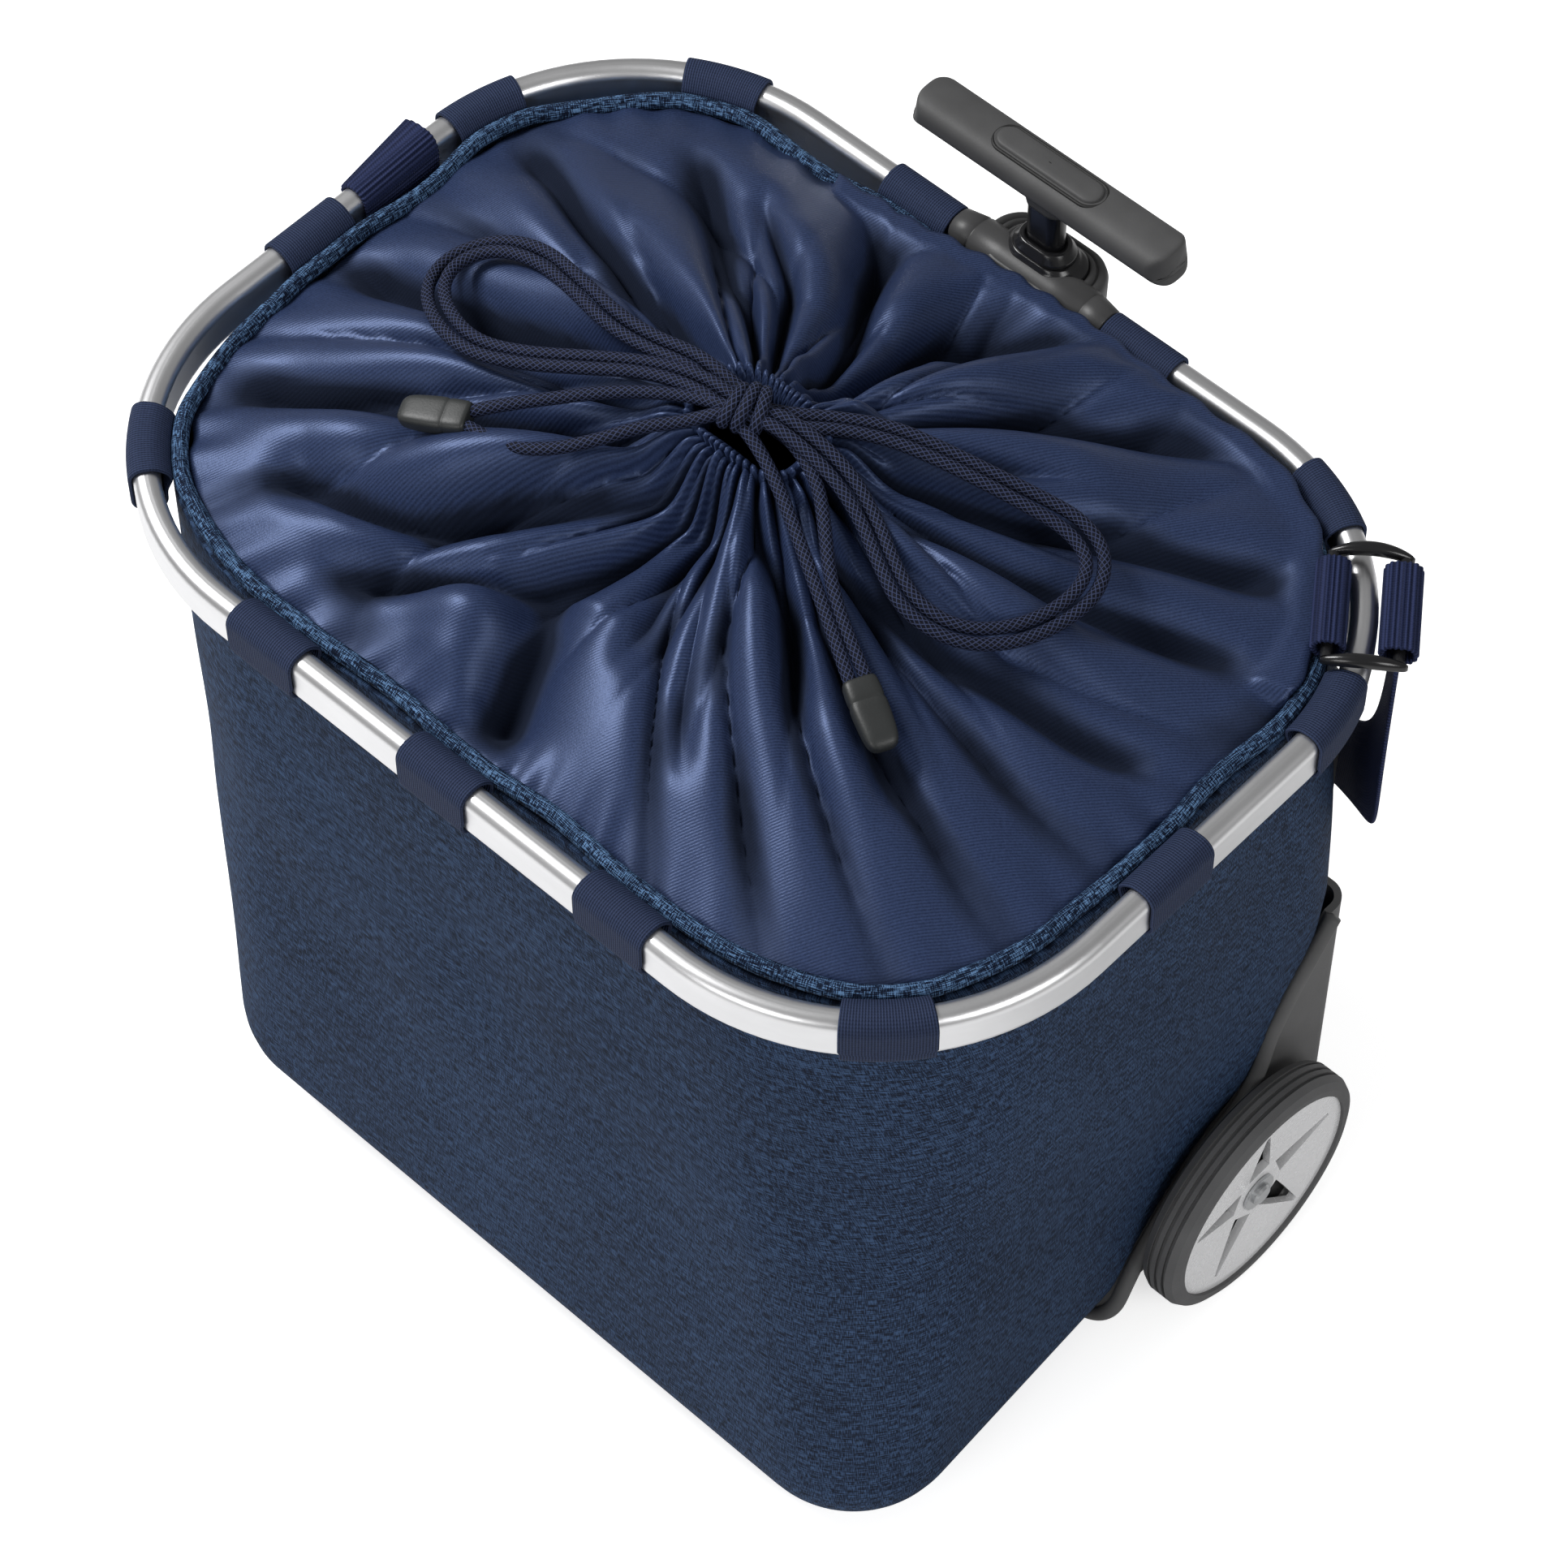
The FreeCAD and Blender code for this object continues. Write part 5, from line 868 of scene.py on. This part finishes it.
def knot_turns():
    """The knot of the bow: three slanted turns of cord, each a closed oval line about the
    strands."""
    turn = np.linspace(0, 2 * math.pi, 40, endpoint=False)
    grids = []
    for offset, lean, wide, tall, spin in (
            (-6.5, 0.25, 7.0, 5.2, 0.5), (-2.0, 0.1, 8.0, 6.0, 0.45), (3.0, -0.15, 7.6, 5.6, 0.4)):
        y = wide * np.cos(turn)
        z = tall * np.sin(turn)
        x = offset + lean * y + 1.5 * np.sin(turn)
        grids.append(np.column_stack([x * math.cos(spin) - y * math.sin(spin) - 2,
                                      x * math.sin(spin) + y * math.cos(spin) + 1, z + 443.0]))
    return grids


def knot_tubes(name, lines, radius):
    """A closed round tube along each line: rings square to it, with their first point turned
    away from the line's middle."""
    tubes = []
    for number, line in enumerate(lines):
        step = np.roll(line, -1, 0) - np.roll(line, 1, 0)
        ahead = step / np.linalg.norm(step, axis=1)[:, None]
        middle = line.mean(0)
        out = line - middle
        out -= ahead * (out * ahead).sum(1)[:, None]
        out /= np.linalg.norm(out, axis=1)[:, None]
        side = np.cross(ahead, out)
        turn = np.linspace(0, 2 * math.pi, 12, endpoint=False)
        grid = (line[:, None] + out[:, None] * (np.cos(turn) * radius)[None, :, None]
                + side[:, None] * (np.sin(turn) * radius)[None, :, None])
        steps = np.linalg.norm(step, axis=1) / 2
        along = np.concatenate([[0], np.cumsum(steps)])
        rounds = np.linspace(0, 2 * math.pi * radius, 13)
        uv = np.stack(np.meshgrid(along, rounds, indexing="ij"), -1) * MM
        tubes.append(skin("%s_%d" % (name, number), grid, "trolley", (True, True), uv, weld=True))
    return tubes


knot = knot_tubes("bow_knot_turn", knot_turns(), CORD_RADIUS)
for turn_of_cord in knot:
    turn_of_cord.data.materials.append(navy_braid)
    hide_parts("bow_knot")


# ------------------------------------------------------------------ rim collar
# Moulded nylon collar, dark grey: a tapered sleeve on each of the rim's ends and a rounded plate
# between them, with two thin grooves and the hole for the pole.
POLE_Y = 154.5


def stack(name, stations, body):
    """A piece about the pole's middle, built of rounded outlines one above the other.  Each
    station is the outline's half width, half depth, corner radius and height."""
    rows = []
    for half_a, half_b, radius, height in stations:
        ring, _, _ = box_ring(half_a, half_b, min(radius, half_a * 0.998, half_b * 0.998), 96)
        rows.append(np.column_stack([ring + (0, POLE_Y), np.full(96, height)]))
    return skin(name, np.array(rows), body, (False, True), weld=True)


collar_nylon = grained("collar_nylon", (0.046, 0.046, 0.047), 0.42, 1300.0, bump=0.00003,
                       specular=0.4)
sleeve_rows = []
for along, grow in (
        (-36.8, -4.9), (-36.8, -1.6), (-36.0, -0.7), (-27.5, 0.9), (-26.9, 0.3), (-26.3, 0.3),
        (-25.7, 1.1), (-12, 1.5), (0, 1.5), (12, 1.5), (25.7, 1.1), (26.3, 0.3), (26.9, 0.3),
        (27.5, 0.9), (36.0, -0.7), (36.8, -1.6), (36.8, -4.9)):
    ring, _, _ = box_ring(7.4 + grow, 12.4 + grow, max(6.6 + grow, 0.4), 72)
    sleeve_rows.append(np.column_stack([np.full(72, along), ring[:, 0] + RIM_BACK,
                                        ring[:, 1] + RIM_TOP - TUBE_B]))
sleeves = skin("collar_sleeves", np.array(sleeve_rows), "trolley", (False, True), weld=True)
plate_rows = [(12.4, 8.0, 9, 372), (24, 13, 13, 371.6), (25.5, 14.6, 14, 373.5), (25.8, 14.8, 14, 392)]
plate_rows += [(25.2, 14.4, 14, 394.2), (24.2, 13.6, 13.2, 395), (22.3, 12.4, 12.2, 395.1),
               (22.0, 12.1, 12, 394.2), (21.3, 11.6, 11.5, 394.2), (21.0, 11.3, 11.2, 395.4),
               (20.2, 10.9, 10.8, 395.8), (18.9, 10.2, 10, 395.9), (18.6, 9.9, 9.8, 394.9),
               (12.2, 8.8, 8.7, 394.8), (12.2, 8.8, 8.7, 372)]
plate = stack("collar_plate", plate_rows, "trolley")
for part in (sleeves, plate):
    part.data.materials.append(collar_nylon)
    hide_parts("rim_collar")


# ------------------------------------------------------------------ moulded base, plate and feet
# The base is injection-moulded in dark grey: its front edge rises behind each wheel to the back
# corners and carries a rounded lip that stands out sideways.  The back plate and the feet are of
# the same resin.
base_nylon = grained("base_nylon", (0.095, 0.095, 0.096), 0.5, 1000.0, bump=0.00004,
                     specular=0.35)
dress(base_nylon, "wheel_base", "back_plate", "front_foot_left", "front_foot_right")
GUARD_EDGE = np.array([
    (8.6, 8), (9.4, 14), (13, 26), (23, 45), (37, 62), (52, 78), (68, 88), (82, 93), (91, 107),
    (96, 129), (106, 146), (117, 161), (128, 175)], float)
for side, name in ((-1, "left"), (1, "right")):
    step = np.arange(len(GUARD_EDGE))
    fine = np.linspace(0, len(GUARD_EDGE) - 1, 90)
    edge = np.stack([np.interp(fine, step, GUARD_EDGE[:, k]) for k in (0, 1)], -1)
    for _ in range(6):
        edge[1:-1] = (edge[:-2] + 2 * edge[1:-1] + edge[2:]) / 4
    low = np.clip((28.5 - edge[:, 1]) / 22, 0, 1)
    inward = 22 * (1 - np.sqrt(1 - low ** 2 * 0.998))
    line = np.column_stack([side * (180.4 - inward), edge])
    line = np.concatenate([line[:1], line, line[-1:]])
    line[0, 1:] += (-0.1, -0.6)
    line[-1, 1:] += (0.4, 0.5)
    thick = np.full(len(line), 2.7)
    thick[0] = thick[-1] = 0.05
    lip, _ = round_tube(line, thick, 20, False)
    lip[..., 0] = line[:, None, 0] + (lip[..., 0] - line[:, None, 0]) * 1.25 + side * 1.3
    bead = skin("guard_lip_" + name, lip, "trolley", (False, True), weld=True)
    bead.data.materials.append(base_nylon)


# ------------------------------------------------------------------ screws, axles and springs
# Zinc-plated screws, turned steel stub axles with washers and spring clips, steel latch pins,
# push rod and coil spring, which is pressed together by the button.
zinc = grained("zinc", (0.58, 0.59, 0.60), 0.30, 1500.0, bump=0.000006, vary=0.05, metallic=1.0)
dress(zinc, "foot_screws", "grip_screws", "stub_axle_left", "stub_axle_right",
      "axle_washer_left", "axle_washer_right", "axle_clip_left", "axle_clip_right",
      "middle_latch_pin", "inner_latch_pin", "push_rod")
COIL_PITCH = 1.4
COIL_LONG = 3.6
COIL_RADIUS = 3.25
coil = np.linspace(0, COIL_LONG / COIL_PITCH * 2 * math.pi, 120)
coil_line = np.column_stack([COIL_RADIUS * np.cos(coil), POLE_Y + COIL_RADIUS * np.sin(coil),
                             436.15 + COIL_PITCH * coil / (2 * math.pi)])
points, _ = round_tube(coil_line, 0.45, 10, False)
spring = skin("button_coil", points, "inner_stage", (False, True))
spring.data.materials.append(zinc)
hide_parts("button_spring")
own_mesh(spring)


# ------------------------------------------------------------------ wheels
# A dished hub of silver-painted resin with five tapered slots, and a soft grey tyre moulded on it
# with three thin grooves round its tread.  A thin black disc closes the slots from behind.
AXLE_Y = 74.5
AXLE_Z = 56
hub_resin = grained("hub_resin", (0.80, 0.80, 0.81), 0.26, 300.0, bump=0.0000002, vary=0.02,
                    metallic=0.2)
tyre_rubber = grained("tyre_rubber", (0.10, 0.10, 0.102), 0.62, 800.0, bump=0.00005, specular=0.3)
dress(hub_resin, "hub_left", "hub_right")
hub_shadow = grained("hub_shadow", (0.012, 0.012, 0.013), 0.5, 900.0)
for side, name in ((-1, "left"), (1, "right")):
    turn = np.linspace(0, 2 * math.pi, 64, endpoint=False)
    rows = []
    for x, r in ((194.9, 12.0), (194.9, 44.2), (194.3, 44.2), (194.3, 12.0), (194.9, 12.0)):
        rows.append(np.column_stack([
            np.full(64, side * x), AXLE_Y + r * np.cos(turn), AXLE_Z + r * np.sin(turn)]))
    web = skin("hub_backing_" + name, np.array(rows), "wheel_" + name, (False, True), weld=True)
    web.data.materials.append(hub_shadow)
dress(tyre_rubber, "tyre_left", "tyre_right")


# ------------------------------------------------------------------ pole
# Three flat-oval tubes anodised gloss black, with plastic shoes at their feet.  Two flanged
# guides of gloss black resin close their tops; the lower one flares out over the collar.
tube_black = grained("tube_black", (0.006, 0.006, 0.007), 0.22, 1500.0, (1, 1, 0.15),
                     0.000004, 0.08)
shoe_resin = grained("shoe_resin", (0.10, 0.10, 0.11), 0.5, 1000.0)
bush_gloss = grained("bush_gloss", (0.010, 0.010, 0.011), 0.20, 1500.0, bump=0.000006)
dress(tube_black, "pole_inner_tube", "pole_middle_tube", "pole_outer_tube")
dress(shoe_resin, "middle_shoe", "inner_shoe")
boot = stack("pole_boot", [
    (12.2, 8.4, 8.3, 393.5), (17.6, 10.6, 10.4, 393.5), (18.0, 10.9, 10.7, 395.3), (17.3, 10.5, 10.3, 396.6),
    (15.6, 9.6, 9.5, 397.3), (14.2, 9.0, 8.9, 398.2), (13.5, 8.7, 8.6, 399.4), (12.9, 8.4, 8.3, 399.7),
    (10.2, 6.7, 6.6, 399.7), (10.2, 6.7, 6.6, 396.5)], "trolley")
neck_ring = stack("pole_neck_ring", [
    (9.0, 5.6, 5.5, 399.8), (12.5, 8.2, 8.1, 399.8), (12.9, 8.5, 8.4, 400.6), (12.5, 8.2, 8.1, 401.8),
    (11.2, 7.4, 7.3, 403.0), (10.6, 7.0, 6.9, 404.7), (10.0, 6.5, 6.4, 405.1), (8.3, 4.8, 4.7, 405.1),
    (8.3, 4.8, 4.7, 401.5)], "middle_stage")
for part, node in ((boot, "outer_guide_bush"), (neck_ring, "middle_guide_bush")):
    part.data.materials.append(bush_gloss)
    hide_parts(node)


# ------------------------------------------------------------------ grip and button
# A slim bar of dark rubberised resin in two shells, its ends cut off on a slant, with a raised
# stadium button in a dark groove.
GRIP_MID = 437.0
GRIP_HALF = 61.5
GRIP_PARTING = 434.0
grip_rubber = grained("grip_rubber", (0.062, 0.062, 0.063), 0.55, 1400.0, bump=0.00005,
                      vary=0.16, specular=0.35)
groove_black = grained("groove_black", (0.006, 0.006, 0.006), 0.6, 1200.0)


def grip_shell(name, upper):
    """Half of the bar: its section |y / 10.5|^2.8 + |z / 7|^2.8 = 1 above or below the parting,
    carried along X and rounded in at each end.  There the top is 2.6 mm shorter than the bottom,
    and the sides are 5.5 mm shorter than the middle."""
    start = GRIP_PARTING - GRIP_MID
    lean = math.asin(-start / 7.0)
    if upper:
        turn = np.linspace(-lean, math.pi + lean, 60)
    else:
        turn = np.linspace(-lean, -math.pi + lean, 40)
    y = 10.5 * np.sign(np.cos(turn)) * np.abs(np.cos(turn)) ** (2 / 2.8)
    z = 7.0 * np.sign(np.sin(turn)) * np.abs(np.sin(turn)) ** (2 / 2.8)
    z[0] = z[-1] = start
    back = np.linspace(y[-1], y[0], 14)[1:-1]
    y = np.concatenate([y, back])
    z = np.concatenate([z, np.full(12, start)])
    rows = []
    ends = [(0, 0.02), (0, 0.5), (0, 0.86), (0.3, 0.94), (0.9, 0.985), (2, 1), (4, 1), (8, 1),
            (14, 1)]
    for inset, grow in ends + [(GRIP_HALF, 1.0)]:
        rows.append((-GRIP_HALF + inset, grow))
    rows += [(-x, grow) for x, grow in rows[-2::-1]]
    points = []
    for x, grow in rows:
        slant = 2.6 * (z * grow / 7.0 + 1) / 2 + 5.5 * (np.abs(y) * grow / 10.5) ** 3
        weight = abs(x) / GRIP_HALF
        weight = max(weight - 0.72, 0) / 0.28
        centre = start + 2 if upper else start - 1
        points.append(np.column_stack([
            x - math.copysign(1, x) * slant * weight, y * grow + POLE_Y,
            centre + (z - centre) * grow + GRIP_MID]))
    return skin(name, np.array(points), "inner_stage", (False, True), weld=True)


bar_upper = grip_shell("grip_bar_upper", True)
bar_lower = grip_shell("grip_bar_lower", False)
neck = stack("grip_neck", [
    (8.1, 4.6, 4.5, 431), (10.2, 6.7, 6.6, 431), (9.4, 5.9, 5.8, 429), (8.9, 5.4, 5.3, 424.5),
    (8.6, 5.1, 5.0, 423), (8.1, 4.6, 4.5, 423)], "inner_stage")
for part, node in ((bar_upper, "grip_upper"), (bar_lower, "grip_lower"), (neck, "grip_lower")):
    part.data.materials.append(grip_rubber)
    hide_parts(node)
groove = stack("button_groove", [
    (23.0, 4.2, 4.1, 440.5), (24.9, 6.1, 6.0, 442.8), (25.9, 7.1, 7.0, 443.2), (25.8, 7.0, 6.9, 443.75),
    (25.3, 6.5, 6.4, 444.05), (24.8, 6.0, 5.9, 443.9), (24.3, 5.5, 5.4, 443.0), (24.2, 5.4, 5.3, 441.0)],
    "inner_stage")
groove.data.materials.append(groove_black)
button = stack("grip_button", [
    (0.6, 0.12, 0.1, 440.7), (23.9, 5.1, 5.0, 440.7), (23.9, 5.1, 5.0, 444.6), (23.6, 4.8, 4.7, 445.0),
    (23.0, 4.2, 4.1, 445.25), (21.0, 2.4, 2.3, 445.4), (0.6, 0.12, 0.1, 445.45)], "button")
button.data.materials.append(grip_rubber)
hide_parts("release_button")


# ------------------------------------------------------------------ carry strap
# Navy webbing, 38 mm wide, with bold ribs across it.  It droops behind the bag from a wrap on
# the left of the rim to the slider on the right.
STRAP_WIDE = 38.0
STRAP_CAP = 0.8
STRAP_ROWS = 150
strap_webbing = webbing_material(
    "strap_webbing", 0.0018, (0.006, 0.009, 0.028), (0.026, 0.036, 0.098), 0.00045)


def strap_line():
    """The strap's middle line and its outward direction: along the rim's centre line from the
    left wrap to the slider, moved out round the pole and drooping as sin(pi s)^0.8."""
    straight = RIM_BACK - BEND
    bend = BEND * math.pi / 2
    flat_x = RIM_X - BEND
    last = straight + bend + 2 * flat_x + bend * (1 - 36 / 90)
    share = np.linspace(0, 1, STRAP_ROWS)
    along = 24 + (last - 24) * (share - np.sin(2 * math.pi * share) / (2 * math.pi))
    near = np.interp(share, [0, 0.35, 0.65, 1], [7.6, 7.6, 12.5, 12.5])
    outset = near + (15.9 - near) * np.sin(math.pi * share) ** 4
    height = 371.8 + 20.3 * share - 190 * np.sin(math.pi * share) ** 0.8
    left = np.clip((along - straight) / BEND, 0, math.pi / 2)
    right = np.clip((along - straight - bend - 2 * flat_x) / BEND, 0, math.pi / 2)
    angle = math.pi - left - right
    out = np.column_stack([np.cos(angle), np.sin(angle)])
    run_x = np.clip(along - straight - bend, 0, 2 * flat_x) - flat_x
    x = run_x + out[:, 0] * (BEND + outset)
    y = np.minimum(along, straight) + out[:, 1] * (BEND + outset)
    return np.column_stack([x, y, height]), np.column_stack([out, np.zeros(len(out))])


middle, outward = strap_line()
run = np.gradient(middle, axis=0)
run /= np.linalg.norm(run, axis=1)[:, None]
row = np.arange(STRAP_ROWS)
blend_in = np.clip(np.minimum(row, STRAP_ROWS - 1 - row) / 8, 0, 1)[:, None]
upright = np.outer(np.where(row < STRAP_ROWS / 2, -1.0, 1.0), [0, 0, 1.0])
run = run * blend_in + upright * (1 - blend_in)
width_way = np.cross(outward, run)
width_way /= np.linalg.norm(width_way, axis=1)[:, None]
half = STRAP_WIDE / 2
turn = np.linspace(math.pi / 2, -math.pi / 2, 6)[1:-1]
strap_w = np.concatenate([
    np.linspace(-half + STRAP_CAP, half - STRAP_CAP, 14), half - STRAP_CAP + STRAP_CAP * np.cos(turn),
    np.linspace(half - STRAP_CAP, -half + STRAP_CAP, 14), -half + STRAP_CAP - STRAP_CAP * np.cos(turn)])
strap_t = np.concatenate([np.full(14, STRAP_CAP), STRAP_CAP * np.sin(turn),
                          np.full(14, -STRAP_CAP), -STRAP_CAP * np.sin(turn)])
points = (middle[:, None] + width_way[:, None] * strap_w[None, :, None]
          + outward[:, None] * strap_t[None, :, None])
steps = np.linalg.norm(np.diff(middle, axis=0), axis=1)
strap_long = np.concatenate([[0], np.cumsum(steps)])
uv = np.stack(np.meshgrid(np.append(strap_w, strap_w[0]), strap_long), -1) * MM
points = np.concatenate([points[:1] * 0.02 + middle[:1] * 0.98, points,
                         points[-1:] * 0.02 + middle[-1:] * 0.98])
uv = np.concatenate([uv[:1], uv, uv[-1:]])
strap = skin("strap_webbing", points, "trolley", (False, True), uv, weld=True)
strap.data.materials.append(strap_webbing)
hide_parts("carry_strap")


# ------------------------------------------------------------------ strap slider and wraps
# The slider is gloss black: two arched crescent bars joined by two cross bars.  The strap's
# ribbed ends are wrapped round the cross bars and, at the left, round the rim itself.
SLIDER_ANGLE = math.radians(36)
slider_middle = np.array([RIM_X - BEND + BEND * math.cos(SLIDER_ANGLE),
                          RIM_BACK - BEND + BEND * math.sin(SLIDER_ANGLE), RIM_TOP + 2.9])
radial = np.array([math.cos(SLIDER_ANGLE), math.sin(SLIDER_ANGLE), 0])
tangent = np.array([-math.sin(SLIDER_ANGLE), math.cos(SLIDER_ANGLE), 0])
upward = np.array([0, 0, 1.0])


def on_slider(r, t, z):
    """Points in the slider's own directions, put in the plan."""
    return slider_middle + r[..., None] * radial + t[..., None] * tangent + z[..., None] * upward


for side in (-1, 1):
    share = np.concatenate([[-1], np.linspace(-1, 1, 29), [1]])
    fat = np.sqrt(np.clip(1 - share ** 2, 0, 1))
    fat[0] = fat[-1] = 0
    turn = np.linspace(0, 2 * math.pi, 20, endpoint=False)
    r = 0.6 + share[:, None] * 15.2 + 0 * turn
    t = side * (23.4 + 1.2 * (1 - share[:, None] ** 2)) + (0.5 + 2.1 * fat[:, None]) * np.cos(turn)
    z = -0.6 + 3.4 * (1 - share[:, None] ** 2) + (1.4 + 1.3 * fat[:, None]) * np.sin(turn)
    t[0] = side * 23.4
    t[-1] = side * 23.4
    z[0] = -0.6
    z[-1] = -0.6
    crescent = skin("slider_end_" + ("near" if side < 0 else "far"), on_slider(r, t, z), "trolley",
                    (False, True), weld=True)
    cross, _ = round_tube(on_slider(np.full(9, side * 12.5), np.linspace(-23, 23, 9), np.zeros(9)),
                          2.2, 16, False)
    rod = skin("slider_bar_" + ("inner" if side < 0 else "outer"), cross, "trolley", (False, True),
               weld=True)
    for part in (crescent, rod):
        part.data.materials.append(bush_gloss)
        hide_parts("strap_slider")
    ring, facing, _ = box_ring(5.2 if side < 0 else 6.0, 4.2, 4.0, 160)
    ribs = 0.32 * np.cos(np.arange(160) * 2 * math.pi * 16 / 160)
    r, t, z, uv = webbing_band(ring + facing * ribs[:, None], facing, STRAP_WIDE, 1.7)
    roll = skin("strap_roll_" + ("inner" if side < 0 else "outer"),
                on_slider(r + side * 12.2, t, z), "trolley", (True, True), uv[..., ::-1], weld=True)
    roll.data.materials.append(strap_webbing)
    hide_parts("strap_wraps")
ring, facing, _ = box_ring(TUBE_A + 1.1, TUBE_B + 1.1, TUBE_ROUND + 1, 200)
ribs = 0.26 * np.cos(np.arange(200) * 2 * math.pi * 32 / 200)
r, w, z, uv = webbing_band(ring + facing * ribs[:, None], facing, STRAP_WIDE, 1.7)
loose = (w + half) / STRAP_WIDE
r = -r
r = r - loose * 4.5 * np.clip(-r / 6, 0, 1)
z = z + loose * 2.5 * np.clip(z / 10, 0, 1)
points = np.stack([r - RIM_X, 24 + w, z + RIM_TOP - TUBE_B], -1)
wrap = skin("strap_wrap_left", points, "trolley", (True, True), uv[..., ::-1], weld=True)
wrap.data.materials.append(strap_webbing)
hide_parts("strap_wraps")
